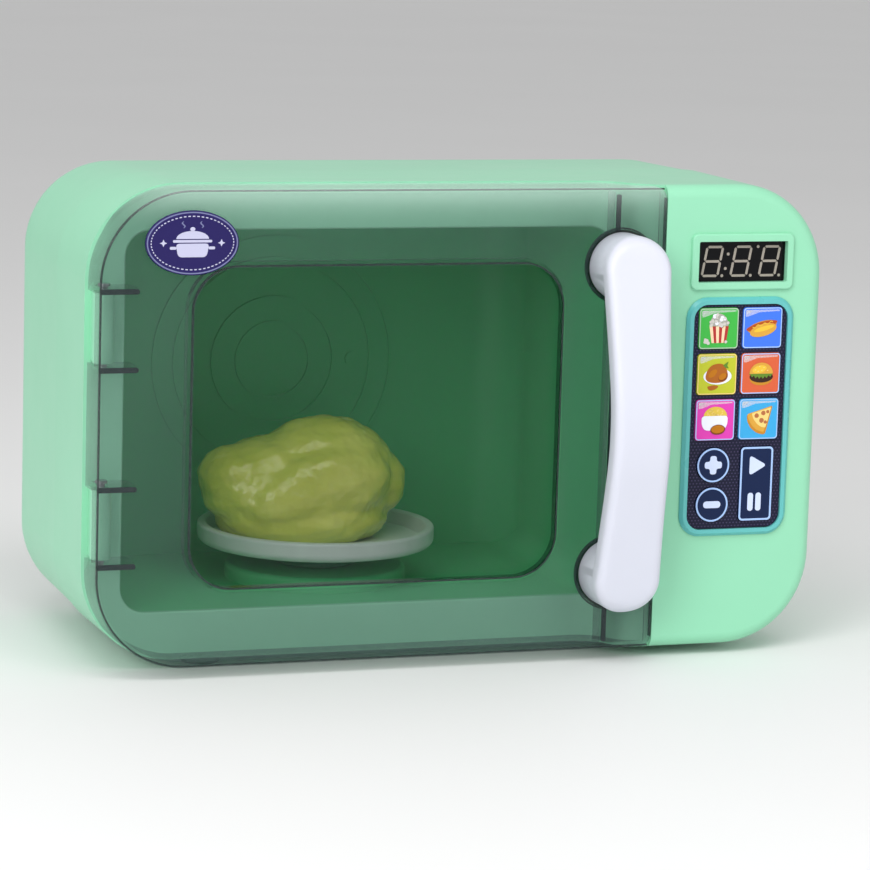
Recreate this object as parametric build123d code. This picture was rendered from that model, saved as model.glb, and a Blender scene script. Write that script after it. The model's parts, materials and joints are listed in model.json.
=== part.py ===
from build123d import *
import os
from math import acos, atan2, cos, degrees, pi, radians, sin, sqrt, tan

os.makedirs("parts", exist_ok=True)

# Toy microwave oven, millimetres. X runs to the right, Y to the back and Z up.
# The origin is under the middle of the whole toy, on the surface it stands on.
# Depths are counted backwards from the flat front of the control panel.

# ---------------------------------------------------------------- driving dimensions
# Cabinet shells
body_width = 300.0
body_height = 187.0
body_depth = 145.0
body_corner_radius = 37.0
body_wall = 2.2
foot_height = 4.0
foot_radius = 8.0
foot_inset = 52.0
foot_front_setback = 33.0
foot_rear_setback = 34.7
foot_chamfer = 0.8
parting_depth = 64.5
parting_step = 0.4
rear_draft = 1.2
rear_edge_radius = 20.0
panel_edge_radius = 5.0
panel_width = 68.9
seat_depth = 20.0
ramp_run = 28.0
ramp_end_depth = 3.4

# Mouth and cavity
mouth_margin_left = 9.0
mouth_margin_right = 15.1
mouth_margin_top = 18.5
mouth_margin_bottom = 19.1
mouth_radius = 10.0
mouth_collar_depth = 4.5
mouth_lip = 7.0
mouth_lip_thickness = 1.4
mouth_lip_edge = 0.9
liner_wall = 1.8
cavity_back_gap = 12.0
cavity_back_radius = 18.0
ring_radii = (16.0, 26.5, 43.0, 52.0)
ring_width = 1.4
ring_height = 0.8
ring_stud_radius = 3.0
ring_center_height = 7.0
ring_center_shift = -3.0

# Door
door_gap = 0.5
door_inset = 0.6
door_wall = 2.0
door_plate = 2.2
door_edge_radius = 1.5
door_inner_radius = 1.0
door_right_radius = 5.0
window_margin_left = 37.5
window_margin_right = 42.6
window_margin_top = 30.2
window_margin_bottom = 31.2
window_radius = 17.0
window_recess = 4.5
door_rib_inset = 20.0
door_rib_width = 2.0
door_rib_depth = 8.0
latch_inset = 9.6
latch_width = 2.4
latch_height = 10.0
latch_length = 15.0
door_switch_size = (6.0, 9.0, 11.0)
door_switch_height = 8.0
door_switch_lever = (3.0, 0.8, 2.5)

# Hinge
hinge_inset = 5.5
hinge_depth = 12.0
hinge_pin_radius = 1.5
hinge_rib_reach = 16.4
hinge_rib_thickness = 2.0
hinge_rib_tail = 4.5
hinge_upper_height = 39.0
hinge_lower_height = -37.0
hinge_rib_pitch = 30.0
knuckle_radius = 4.0
flange_step_depth = 17.0
flange_ramp = 6.0
ear_notch_depth = 6.5
running_clearance = 0.06
end_clearance = 0.4

# Handle
handle_inset = 18.2
handle_end_width = 27.2
handle_waist_width = 23.8
handle_end_height = 61.5
handle_middle_reach = 31.0
handle_slope = 11.0
handle_bow_radius = 100.0
handle_thickness = 8.5
handle_bend_radius = 8.0
boss_sink = 1.0
boss_hole_depth = 11.0
boss_radius = 13.5
boss_pocket_depth = 1.2
boss_shadow_gap = 1.0
screw_radius = 1.5
screw_head_radius = 3.0
screw_head_height = 2.0
screw_clearance = 0.1
handle_screw_length = 10.0
handle_screw_post = 4.0

# Badge
badge_width = 36.8
badge_height = 24.8
badge_thickness = 0.9
badge_inset_left = 35.8
badge_inset_top = 20.4

# Control panel
controls_shift = -1.5
display_rise = 1.5
display_border_side = 2.9
display_border_top = 3.15
display_frame_radius = 2.6
display_width = 38.4
display_opening_height = 16.3
display_gap = 2.9
display_corner_radius = 0.6
display_recess = 1.2
digit_height = 12.5
digit_width = 7.7
digit_pitch = 12.4
digit_slant = 10.0
segment_width = 0.95
segment_rise = 0.15
segment_gap = 0.45
point_radius = 0.6
point_offset = 0.45
keypad_radius = 8.8
keypad_center_height = 0.3
key_margin_side = 2.4
key_margin_top = 1.4
key_margin_bottom = 3.0
key_opening_radius = 1.5
keypad_rise = 1.8
keypad_border = 2.8
keypad_bevel = 1.2
overlay_rise = 0.9
tile_width = 17.0
tile_height = 16.5
tile_radius = 1.4
tile_gap = 2.0
round_key_spacing = 3.0
plus_minus_gap = 1.9
round_key_radius = 7.1
play_width = 14.4
play_radius = 1.8
key_chamfer = 0.3
key_rise = 0.6
key_gap = 0.25
key_flange = 0.5
key_flange_thickness = 1.2
key_travel = 0.8
plunger_radius = 1.9
switch_size = 6.0
switch_height = 3.4
switch_gap = 0.15
board_depth = 11.0
board_thickness = 1.6
board_width = 46.0
board_margin = 4.0
post_radius = 3.0
board_screw_radius = 1.1
board_screw_head = 1.4
board_screw_length = 5.0

# Turntable and its drive
turntable_shift = 0.5
plate_back_gap = 7.0
drive_boss_height = 6.0
drive_boss_radius = 37.0
plate_radius = 48.5
plate_lift = 14.4
plate_height = 8.0
plate_thickness = 2.6
plate_rim_width = 3.6
plate_rim_slope = 2.0
plate_rim_edge = 1.2
plate_foot_edge = 3.0
hub_radius = 16.0
hub_gap = 0.3
skirt_wall = 2.0
skirt_height = 4.0
lug_width = 4.0
lug_length = 20.0
lug_height = 1.2
shaft_radius = 2.3
shaft_collar = 0.4
shaft_end_drop = 2.0
axle_radius = 0.9
gear_module = 0.5
pinion_teeth = 14
wheel_teeth = 42
gear_face = 2.0
gear_level_pitch = 2.6
gear_backlash = 0.16
pressure_angle = 20.0
train_angles = (180.0, 270.0, 310.0)
gearbox_radius = 34.6
gearbox_wall = 1.4
gearbox_gap = 0.5
motor_width = 12.0
motor_breadth = 10.0
motor_length = 13.5
motor_corner_radius = 1.5
motor_shaft_depth = 3.5
axle_end_gap = 0.3
ear_angle_start = 20.0
gearbox_ear_reach = 6.5
gearbox_ear_rim = 1.0
gearbox_screw_gap = 0.1

# Play chicken
chicken_length = 84.0
chicken_girth = 52.0
chicken_rest_gap = 0.3
chicken_shift = -5.5
thigh_radius = 13.0
ankle_radius = 4.4
leg_back = 26.0
leg_front = 31.0
leg_forward = 4.0
leg_spread = 18.0
leg_drop = 3.0
leg_pitch = 14.0
leg_turn = 158.0

# Battery box, speaker and switch in the back of the cabinet
service_inset = 53.0
battery_box_width = 48.0
battery_box_height = 60.0
battery_box_depth = 17.0
battery_box_wall = 1.2
battery_gap = 7.5
battery_radius = 7.1
battery_length = 50.0
battery_count = 3
battery_button_height = 1.4
battery_button_radius = 2.7
contact_thickness = 0.5
contact_margin = 1.5
contact_reach = 4.0
contact_tip_radius = 2.0
contact_tip_gap = 0.1
battery_door_thickness = 1.8
battery_flange = 2.0
battery_tab = 9.0
battery_boss_depth = 8.0
battery_screw_sink = 0.8
grip_groove_pitch = 3.0
grip_groove_length = 16.0
grip_groove_width = 1.2
grip_groove_depth = 0.6
service_gap = 0.3
speaker_radius = 18.0
speaker_depth = 11.0
speaker_margin_top = 27.0
speaker_magnet_radius = 7.0
speaker_magnet_height = 4.0
speaker_rim_width = 2.5
speaker_rim_height = 1.6
speaker_cone_radius = 9.0
speaker_cone_drop = 3.5
speaker_dome_drop = 5.5
grille_slot_width = 2.4
grille_pitch = 5.2
power_gap = 11.5
power_body_margin = 3.0
power_body_depth = 6.0
power_body_height = 9.0
power_slot_depth = 3.0
power_knob_rise = 0.4
power_groove_pitch = 1.1
power_groove_width = 0.5
power_travel = 4.0
power_knob_width = 4.0
power_knob_height = 3.6
power_recess = 1.0

# Case screws and lamp
case_screw_left_inset = 52.0
case_screw_right_inset = 42.0
case_screw_inset = 10.2
case_post_radius = 4.4
case_screw_head_radius = 2.8
case_screw_head_height = 2.0
case_screw_seat = 4.0
case_screw_length = 12.0
lamp_radius = 7.0
lamp_flange = 1.5
lamp_flange_thickness = 1.0
lamp_base_height = 1.6
lamp_led_radius = 2.0
lamp_led_height = 3.4
lamp_led_offset = 3.0
small_clearance = 0.2

# ---------------------------------------------------------------- derived places
front_y = (handle_middle_reach - body_depth) / 2
rear_y = front_y + body_depth
parting_y = front_y + parting_depth
seat_y = front_y + seat_depth
base_z = foot_height
top_z = base_z + body_height
mid_z = base_z + body_height / 2
left_x = -body_width / 2
right_x = body_width / 2
panel_left = right_x - panel_width
door_left = left_x + door_inset
door_right = panel_left - door_gap
door_bottom = base_z + door_inset
door_top = top_z - door_inset
mouth_left = left_x + mouth_margin_left
mouth_right = panel_left - mouth_margin_right
mouth_bottom = base_z + mouth_margin_bottom
mouth_top = top_z - mouth_margin_top
cavity_back_y = rear_y - cavity_back_gap
hinge_x = left_x + hinge_inset
hinge_y = front_y + hinge_depth
hinge_heights = (mid_z + hinge_upper_height, mid_z + hinge_lower_height)
handle_x = door_right - handle_inset
handle_heights = (mid_z - handle_end_height, mid_z + handle_end_height)
latch_x = panel_left - latch_inset
screw_seat_y = front_y + handle_screw_post
controls_x = (panel_left + right_x) / 2 + controls_shift
play_height = 4 * round_key_radius + plus_minus_gap
tile_rows_height = 3 * tile_height + 2 * tile_gap
keypad_width = 2 * (keypad_border + key_margin_side + tile_width) + tile_gap
keypad_height = (2 * keypad_border + key_margin_top + tile_rows_height + round_key_spacing + play_height
                 + key_margin_bottom)
keypad_z = mid_z + keypad_center_height
keypad_top_z = keypad_z + keypad_height / 2
tile_pitch_x = tile_width + tile_gap
tile_pitch_z = tile_height + tile_gap
tile_top_z = keypad_top_z - keypad_border - key_margin_top - tile_height / 2
plus_z = tile_top_z + tile_height / 2 - tile_rows_height - round_key_spacing - round_key_radius
minus_z = plus_z - 2 * round_key_radius - plus_minus_gap
play_z = (plus_z + minus_z) / 2
display_frame_width = display_width + 2 * display_border_side
display_frame_height = display_opening_height + 2 * display_border_top
display_z = keypad_top_z + display_gap + display_frame_height / 2
board_y = front_y + board_depth
service_x = right_x - service_inset
speaker_z = top_z - speaker_margin_top - speaker_radius
power_z = speaker_z - speaker_radius - power_gap
battery_z = power_z - battery_gap - battery_box_height / 2
battery_screw_z = battery_z - (battery_box_height + battery_tab) / 2
case_screw_columns = (left_x + case_screw_left_inset, right_x - case_screw_right_inset)
turntable_x = (mouth_left + mouth_right) / 2 + turntable_shift
turntable_y = cavity_back_y - plate_back_gap - plate_radius
floor_top_z = mouth_bottom + drive_boss_height
floor_under_z = floor_top_z - liner_wall
plate_bottom_z = mouth_bottom + plate_lift
gear_pitch_distance = gear_module * (pinion_teeth + wheel_teeth) / 2
rear_lean = tan(radians(rear_draft))
gearbox_back_y = turntable_y + gearbox_radius + gearbox_ear_reach + post_radius
shell_floor_z = base_z + parting_step + body_wall + rear_lean * (gearbox_back_y - parting_y)
gearbox_floor_z = shell_floor_z + gearbox_gap
gear_base_z = gearbox_floor_z + gearbox_wall + gearbox_gap


# ---------------------------------------------------------------- drawing helpers
def rounded(x_low, x_high, z_low, z_high, radius):
    """A rounded rectangle drawn in x and z."""
    middle = Pos((x_low + x_high) / 2, (z_low + z_high) / 2)
    return middle * RectangleRounded(x_high - x_low, z_high - z_low, radius)


def disc(x, z, radius):
    return Pos(x, z) * Circle(radius)


def prism(drawing, near_y, far_y, taper=0.0):
    """Extrudes a drawing in x and z forward from far_y to near_y."""
    plane = Plane(origin=(0, far_y, 0), x_dir=(1, 0, 0), z_dir=(0, -1, 0))
    return extrude(plane * drawing, amount=far_y - near_y, taper=taper)


def column(drawing, low_z, high_z):
    """Extrudes a drawing in x and y upwards from low_z to high_z."""
    return extrude(Plane.XY.offset(low_z) * drawing, amount=high_z - low_z)


def block(x_low, x_high, y_low, y_high, z_low, z_high):
    size = Box(x_high - x_low, y_high - y_low, z_high - z_low)
    return Pos((x_low + x_high) / 2, (y_low + y_high) / 2, (z_low + z_high) / 2) * size


def rod_y(x, z, radius, near_y, far_y):
    return prism(disc(x, z, radius), near_y, far_y)


def rod_z(x, y, radius, low_z, high_z):
    return column(Pos(x, y) * Circle(radius), low_z, high_z)


def save(name, *solids):
    shape = solids[0] if len(solids) == 1 else Compound(children=list(solids))
    export_step(shape, f"parts/{name}.step")


# ---------------------------------------------------------------- cabinet outlines
def body_section(inset):
    radius = body_corner_radius - inset
    return rounded(left_x + inset, right_x - inset, base_z + inset, top_z - inset, radius)


def door_space(grow):
    """Plan of the room in front of the seat, up to the panel's side, grown by a distance."""
    start_x = panel_left - ramp_run
    drop = seat_depth - ramp_end_depth
    radius = (ramp_run**2 + drop**2) / (4 * drop)
    turn = atan2(ramp_run, 2 * radius - drop)
    near, far = radius + grow, radius - grow
    first = (start_x, seat_y - radius)
    second = (panel_left, front_y + ramp_end_depth + radius)

    def on_first(angle):
        return (first[0] + near * sin(angle), first[1] + near * cos(angle))

    def on_second(angle):
        return (second[0] - far * sin(angle), second[1] - far * cos(angle))

    outside_x = left_x - body_width
    outside_y = front_y - body_depth
    side_x = panel_left + max(grow, 0)
    curve = ThreePointArc(on_first(0), on_first(turn / 2), on_first(turn))
    curve += ThreePointArc(on_second(turn), on_second(turn / 2), on_second(0))
    corners = [on_second(0)] + ([(side_x, on_second(0)[1])] if grow > 0 else [])
    corners += [(side_x, outside_y), (outside_x, outside_y), (outside_x, on_first(0)[1]), on_first(0)]
    return make_face(curve + Polyline(*corners))


def room_before_seat(grow):
    return column(door_space(grow), base_z - body_height, top_z + body_height)


def mouth(grow):
    return rounded(mouth_left - grow, mouth_right + grow, mouth_bottom - grow, mouth_top + grow,
                   mouth_radius + grow)


def lipped_mouth():
    """The mouth's front opening, which leaves a thin lip beside the hinge."""
    return rounded(mouth_left + mouth_lip, mouth_right, mouth_bottom, mouth_top, mouth_radius)


def on_mouth_edge(edge):
    """Whether an edge runs round the mouth in the flat seat, short of the ramp."""
    box = edge.bounding_box()
    flat = abs(box.min.Y - seat_y) < 0.01 and abs(box.max.Y - seat_y) < 0.01
    inside = box.min.X > mouth_left and box.min.Z > mouth_bottom - 0.01 and box.max.Z < mouth_top + 0.01
    return flat and inside and box.max.X < panel_left


# ---------------------------------------------------------------- front shell
def case_screw_places():
    low, high = base_z + case_screw_inset, top_z - case_screw_inset
    return [(x, z) for x in case_screw_columns for z in (low, high)]


def keypad_outline(inset):
    half_width, half_height = keypad_width / 2 - inset, keypad_height / 2 - inset
    return rounded(controls_x - half_width, controls_x + half_width, keypad_z - half_height,
                   keypad_z + half_height, keypad_radius - inset)


def key_opening_limits():
    """Half width, bottom and top of the hole behind the keys, clear of their flanges."""
    room = key_flange + end_clearance
    half = tile_pitch_x / 2 + tile_width / 2 + room
    low = play_z - play_height / 2 - room
    high = tile_top_z + tile_height / 2 + room
    return half, low, high


def key_opening():
    half, low, high = key_opening_limits()
    return rounded(controls_x - half, controls_x + half, low, high, key_opening_radius)


def display_outline(width, height, radius):
    return Pos(controls_x, display_z) * RectangleRounded(width, height, radius)


def board_posts():
    """Screw posts below the keys and between them and the display."""
    half = board_width / 2 - board_margin
    _, key_low, key_high = key_opening_limits()
    low = key_low - board_margin
    high = (key_high + display_z - display_opening_height / 2) / 2
    return [(controls_x + side * half, z) for side in (-1, 1) for z in (low, high)]


def hinge_ear(center_z):
    half = hinge_rib_pitch / 2 - hinge_rib_thickness / 2 - end_clearance
    ear = block(hinge_x - knuckle_radius + 1, hinge_x + knuckle_radius, hinge_y, seat_y + body_wall / 2,
                center_z - half, center_z + half)
    ear += rod_z(hinge_x, hinge_y, knuckle_radius, center_z - half, center_z + half)
    hole = rod_z(hinge_x, hinge_y, hinge_pin_radius + running_clearance, center_z - half, center_z + half)
    return ear - hole


def latch_slot_block(grow, near_y, far_y):
    half_width, half_height = latch_width / 2 + grow, latch_height / 2 + grow
    return block(latch_x - half_width, latch_x + half_width, near_y, far_y, mid_z - half_height,
                 mid_z + half_height)


def front_shell():
    outer = prism(body_section(0), front_y, parting_y)
    outer = fillet(outer.faces().sort_by(Axis.Y)[0].edges(), panel_edge_radius)
    inner = prism(body_section(body_wall), front_y + body_wall, parting_y + body_wall)
    inner -= room_before_seat(body_wall)
    shell = outer - room_before_seat(0) - inner
    collar = prism(mouth(liner_wall), front_y + mouth_collar_depth, seat_y + body_wall)
    shell += collar - room_before_seat(0)
    shell -= prism(lipped_mouth(), front_y, parting_y)
    shell -= prism(mouth(0), seat_y + mouth_lip_thickness, parting_y)
    shell = fillet([edge for edge in shell.edges() if on_mouth_edge(edge)], mouth_lip_edge)
    frame = display_outline(display_frame_width, display_frame_height, display_frame_radius)
    rise = prism(frame, front_y - display_rise, front_y + body_wall / 2)
    shell += fillet(rise.faces().sort_by(Axis.Y)[0].edges(), display_rise / 2)
    shell -= prism(display_outline(display_width, display_opening_height, display_corner_radius),
                   front_y - 2 * display_rise, front_y + 2 * body_wall)
    shell -= prism(key_opening(), front_y - 1, front_y + 2 * body_wall)
    for x, z in board_posts():
        shell += rod_y(x, z, post_radius, front_y + body_wall / 2, board_y)
        shell -= rod_y(x, z, board_screw_radius, front_y + 1.5 * body_wall, board_y)
    for x, z in case_screw_places():
        start = seat_y if x < panel_left else front_y
        post = rod_y(x, z, case_post_radius, start + body_wall / 2, parting_y)
        post -= rod_y(x, z, screw_radius + screw_clearance, parting_y - case_screw_length, parting_y)
        shell += post
    for height in hinge_heights:
        shell += hinge_ear(height)
    return shell - latch_slot_block(door_gap, front_y, seat_y + body_wall)


# ---------------------------------------------------------------- rear shell
def rear_block(inset, start_y, end_y):
    lean = rear_lean * (end_y - start_y)
    section = body_section(parting_step + inset + lean)
    solid = prism(section, start_y, end_y, taper=-rear_draft)
    return fillet(solid.faces().sort_by(Axis.Y)[-1].edges(), rear_edge_radius - inset)


def service_panel(center_z, width, height, radius):
    return Pos(service_x, center_z) * RectangleRounded(width, height, radius)


def battery_outline(grow):
    size = 2 * grow
    return service_panel(battery_z, battery_box_width + size, battery_box_height + size, 2.0 + grow)


def battery_door_outline(grow):
    """The cover's outline: the box and a strip below it for the screw."""
    center_z = battery_z - battery_tab / 2
    size = 2 * grow
    return service_panel(center_z, battery_box_width + size, battery_box_height + battery_tab + size,
                         2.0 + grow)


def grille():
    """Sound slots in front of the speaker, shortened towards the edge of the cone."""
    count = int((speaker_radius - grille_slot_width) // grille_pitch)
    slots = []
    for step in range(-count, count + 1):
        reach = sqrt((speaker_radius - grille_slot_width) ** 2 - (step * grille_pitch) ** 2)
        place = Pos(service_x, speaker_z + step * grille_pitch)
        slots.append(place * SlotOverall(max(2 * reach, 2 * grille_slot_width), grille_slot_width))
    return slots


def power_outline(grow):
    width = power_knob_width + power_travel + 2 * grow
    return service_panel(power_z, width, power_knob_height + 2 * grow, 0.8)


def rear_shell():
    shell = rear_block(0, parting_y, rear_y)
    shell -= rear_block(body_wall, parting_y - parting_step, rear_y - body_wall)
    for x, z in case_screw_places():
        post = rod_y(x, z, case_post_radius, parting_y, rear_y)
        shell += post & rear_block(body_wall / 2, parting_y, rear_y)
        shell -= rod_y(x, z, case_screw_head_radius + small_clearance, parting_y + case_screw_seat,
                       rear_y + 1)
        shell -= rod_y(x, z, screw_radius + screw_clearance, parting_y - 1, rear_y)
    shell -= prism(battery_door_outline(service_gap), rear_y - 2 * body_wall, rear_y + 1)
    for slot in grille():
        shell -= prism(slot, rear_y - 2 * body_wall, rear_y + 1)
    shell -= prism(power_outline(service_gap), rear_y - 2 * body_wall, rear_y + 1)
    return shell


# ---------------------------------------------------------------- cavity liner
def liner_block(grow, near_y):
    tall = prism(mouth(grow), near_y, cavity_back_y + grow)
    width = mouth_right - mouth_left + 2 * grow
    depth = 2 * body_depth
    plan = Pos((mouth_left + mouth_right) / 2, cavity_back_y + grow - depth / 2) * RectangleRounded(
        width, depth, cavity_back_radius + grow)
    return tall & column(plan, base_z - body_height, top_z + body_height)


def cavity_liner():
    start_y = seat_y + body_wall
    liner = liner_block(liner_wall, start_y)
    boss = rod_z(turntable_x, turntable_y, drive_boss_radius, mouth_bottom - liner_wall, floor_top_z)
    room = liner_block(0, start_y - body_wall) - fillet(boss.edges().sort_by(Axis.Z)[-1], 2.0)
    liner -= room
    liner -= rod_z(turntable_x, turntable_y, drive_boss_radius - liner_wall,
                   mouth_bottom - 2 * liner_wall, floor_under_z)
    liner -= rod_z(turntable_x, turntable_y, shaft_radius + 1.0, floor_under_z - 1, floor_top_z + 1)
    center_z = mid_z + ring_center_height
    center_x = turntable_x + ring_center_shift
    for radius in ring_radii:
        ring = Circle(radius + ring_width / 2) - Circle(radius - ring_width / 2)
        liner += prism(Pos(center_x, center_z) * ring, cavity_back_y - ring_height, cavity_back_y + 0.5)
    stud_x = center_x + (ring_radii[1] + ring_radii[2]) / 2
    liner += rod_y(stud_x, center_z, ring_stud_radius, cavity_back_y - ring_height, cavity_back_y + 0.5)
    for angle in gearbox_ear_angles():
        x, y = polar(gearbox_radius + gearbox_ear_reach / 2, angle)
        liner += rod_z(x, y, post_radius, gearbox_floor_z + gearbox_wall, mouth_bottom - liner_wall / 2)
        liner -= rod_z(x, y, board_screw_radius, gearbox_floor_z + gearbox_wall,
                       mouth_bottom - liner_wall)
    hole = rod_z(turntable_x, turntable_y, lamp_radius, mouth_top - 1, mouth_top + liner_wall + 1)
    return liner - hole


def polar(distance, angle, x=turntable_x, y=turntable_y):
    """A point at a distance and bearing from the turntable's axis or another point."""
    return (x + distance * cos(radians(angle)), y + distance * sin(radians(angle)))


def gearbox_ear_angles():
    return [ear_angle_start + 120.0 * index for index in range(3)]


# ---------------------------------------------------------------- door
def door_slab(inset, near_y, far_y, edge_radius):
    """The door's block with its front edges rounded on every side but the right."""
    radius = body_corner_radius - door_inset - inset
    low_x, high_x = door_left + inset, door_right - inset
    section = rounded(low_x, high_x + body_width / 2, door_bottom + inset, door_top - inset, radius)
    section &= Pos((low_x + high_x) / 2, mid_z) * Rectangle(high_x - low_x, body_height)
    solid = prism(section, near_y, far_y)
    front = solid.faces().sort_by(Axis.Y)[0]
    edges = [edge for edge in front.edges() if edge.center().X < high_x - 1]
    return fillet(edges, edge_radius)


def window_outline(grow):
    return rounded(door_left + window_margin_left - grow, door_right - window_margin_right + grow,
                   door_bottom + window_margin_bottom - grow, door_top - window_margin_top + grow,
                   window_radius + grow)


def hinge_ribs():
    """Flat ribs that hold the pins, one above and one below each ear."""
    low_x, high_x = door_left + door_wall / 2, door_left + hinge_rib_reach
    low_y, high_y = front_y + door_plate / 2, hinge_y + hinge_rib_tail
    plan = Pos((low_x + high_x) / 2, (low_y + high_y) / 2) * RectangleRounded(
        high_x - low_x, high_y - low_y, 1.5)
    ribs = []
    for height in hinge_heights:
        for side in (-1, 1):
            center = height + side * hinge_rib_pitch / 2
            half = hinge_rib_thickness / 2
            rib = column(plan, center - half, center + half)
            ribs.append(rib - rod_z(hinge_x, hinge_y, hinge_pin_radius, center - half, center + half))
    return ribs


def door_shell():
    far_y = seat_y - door_gap
    plate_y = front_y + door_plate
    shell = door_slab(0, front_y, far_y, door_edge_radius)
    shell -= door_slab(door_wall, plate_y, far_y + 1, door_inner_radius)
    pane_y = front_y + window_recess
    shell += prism(window_outline(door_wall), plate_y - door_plate / 2, pane_y + door_plate)
    shell -= prism(window_outline(0), front_y - 1, pane_y)
    rib_x = door_right - door_rib_inset
    rib = block(rib_x - door_rib_width / 2, rib_x + door_rib_width / 2, plate_y - door_plate / 2,
                plate_y + door_rib_depth, door_bottom + door_wall / 2, door_top - door_wall / 2)
    for z in handle_heights:
        rib -= rod_y(handle_x, z, 2 * screw_head_radius, plate_y, far_y)
    shell += rib
    for z in handle_heights:
        shell += rod_y(handle_x, z, 2 * screw_head_radius, plate_y - door_plate / 2, screw_seat_y)
        shell -= rod_y(handle_x, z, boss_radius + boss_shadow_gap, front_y - 1, front_y + boss_pocket_depth)
        shell -= rod_y(handle_x, z, screw_radius + screw_clearance, front_y, screw_seat_y)
    shell += latch_slot_block(0, plate_y - door_plate / 2, front_y + latch_length)
    for rib in hinge_ribs():
        shell += rib
    shell &= prism(rounded(door_left - body_width / 2, door_right, door_bottom, door_top, door_right_radius),
                   front_y - 1, rear_y)
    keep = room_before_seat(-door_gap) + latch_slot_block(0, front_y, rear_y)
    shell &= keep
    shell -= column(flange_relief(), base_z, top_z)
    notch = hinge_rib_pitch / 2 - hinge_rib_thickness / 2
    for height in hinge_heights:
        shell -= block(left_x - 1, hinge_x + knuckle_radius + 1, front_y + ear_notch_depth, rear_y,
                       height - notch, height + notch)
    return shell


def flange_relief():
    """Plan of what is taken off the side flange so that its back corner can swing."""
    step_y = front_y + flange_step_depth
    side_x, ramp_x, back_y = left_x - seat_depth, hinge_x + flange_ramp, seat_y + seat_depth
    return make_face(Polyline((side_x, step_y), (hinge_x, step_y), (ramp_x, seat_y), (ramp_x, back_y),
                              (side_x, back_y), close=True))


def hinge_pins():
    pins = []
    for height in hinge_heights:
        top = height + hinge_rib_pitch / 2 + hinge_rib_thickness / 2
        bottom = height - hinge_rib_pitch / 2 - hinge_rib_thickness / 2
        pin = rod_z(hinge_x, hinge_y, hinge_pin_radius, bottom - 0.5, top)
        pins.append(pin + rod_z(hinge_x, hinge_y, hinge_pin_radius + 0.9, top, top + 1.0))
    return pins


def bow_line(depth):
    """Side view of the handle's bow, this deep behind its outer face, as corners (forward, up)."""
    lean, top = radians(handle_slope), handle_end_height + handle_end_width / 2
    ridge = handle_middle_reach + handle_bow_radius * (1 / cos(lean) - 1) - front_y - depth
    return [(ridge - top * tan(lean), -top), (ridge, 0), (ridge - top * tan(lean), top)]


def handle():
    """A bowed bar with a narrower waist on two round bosses."""
    half_end, waist = handle_end_width / 2, handle_waist_width / 2
    top = handle_end_height + half_end
    middle_y, floor = front_y - handle_middle_reach, front_y + boss_pocket_depth
    outer, inner = bow_line(0), bow_line(handle_thickness)
    face = make_face(Polyline(*outer, *reversed(inner), outer[0]))
    face = fillet([v for v in face.vertices() if abs(v.Y) < 0.01], handle_bow_radius)
    face = fillet([v for v in face.vertices() if abs(v.X - outer[0][0]) < 0.01], handle_bend_radius)
    plane = Plane(origin=(handle_x - handle_end_width, 0, mid_z), x_dir=(0, -1, 0), z_dir=(1, 0, 0))
    bow = extrude(plane * face, amount=2 * handle_end_width)
    edge = ThreePointArc((half_end, -handle_end_height), (waist, 0), (half_end, handle_end_height))
    edge += ThreePointArc((half_end, handle_end_height), (0, top), (-half_end, handle_end_height))
    edge += ThreePointArc((-half_end, handle_end_height), (-waist, 0), (-half_end, -handle_end_height))
    edge += ThreePointArc((-half_end, -handle_end_height), (0, -top), (half_end, -handle_end_height))
    grip = bow & prism(Pos(handle_x, mid_z) * make_face(edge), middle_y - handle_thickness, front_y)
    sunk = bow_line(handle_thickness - boss_sink)
    behind = make_face(Polyline(*sunk, (-floor, top), (-floor, -top), sunk[0]))
    behind = extrude(plane * behind, amount=2 * handle_end_width)
    for z in handle_heights:
        grip += rod_y(handle_x, z, boss_radius, middle_y, floor) & behind
        grip -= rod_y(handle_x, z, screw_radius, floor - boss_hole_depth, floor + 1)
    return grip


def handle_screws():
    screws = []
    for z in handle_heights:
        shank = rod_y(handle_x, z, screw_radius, front_y + boss_pocket_depth - handle_screw_length,
                      screw_seat_y)
        head = rod_y(handle_x, z, screw_head_radius, screw_seat_y, screw_seat_y + screw_head_height)
        screws.append(shank + head)
    return screws


def door_badge():
    place = Pos(door_left + badge_inset_left, door_top - badge_inset_top)
    plaque = prism(place * Ellipse(badge_width / 2, badge_height / 2), front_y - badge_thickness, front_y)
    return fillet(plaque.faces().sort_by(Axis.Y)[0].edges(), badge_thickness / 2)


# ---------------------------------------------------------------- control panel
def tile_places():
    """Column and row centres of the six picture keys, top left first."""
    return [(controls_x + (column_index - 0.5) * tile_pitch_x, tile_top_z - row * tile_pitch_z)
            for row in range(3) for column_index in range(2)]


def tile_outline(x, z, grow):
    return Pos(x, z) * RectangleRounded(tile_width + 2 * grow, tile_height + 2 * grow, tile_radius + grow)


def key_drawings():
    """Each key's name, its outline as a function of growth and the place of its plunger."""
    left, right = controls_x - tile_pitch_x / 2, controls_x + tile_pitch_x / 2
    names = ("popcorn", "hot_dog", "roast", "burger", "rice", "pizza")
    keys = []
    for name, (x, z) in zip(names, tile_places()):
        keys.append((name, lambda grow, x=x, z=z: tile_outline(x, z, grow), (x, z)))
    for name, z in (("plus", plus_z), ("minus", minus_z)):
        keys.append((name, lambda grow, z=z: disc(left, z, round_key_radius + grow), (left, z)))

    def play(grow):
        return Pos(right, play_z) * RectangleRounded(play_width + 2 * grow, play_height + 2 * grow,
                                                     play_radius + grow)

    keys.append(("play_pause", play, (right, play_z)))
    return keys


def keypad_frame():
    ring = prism(keypad_outline(0), front_y - keypad_rise, front_y)
    ring = chamfer(ring.faces().sort_by(Axis.Y)[0].edges(), keypad_bevel)
    return ring - prism(keypad_outline(keypad_border), front_y - keypad_rise - 1, front_y + 1)


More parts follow.
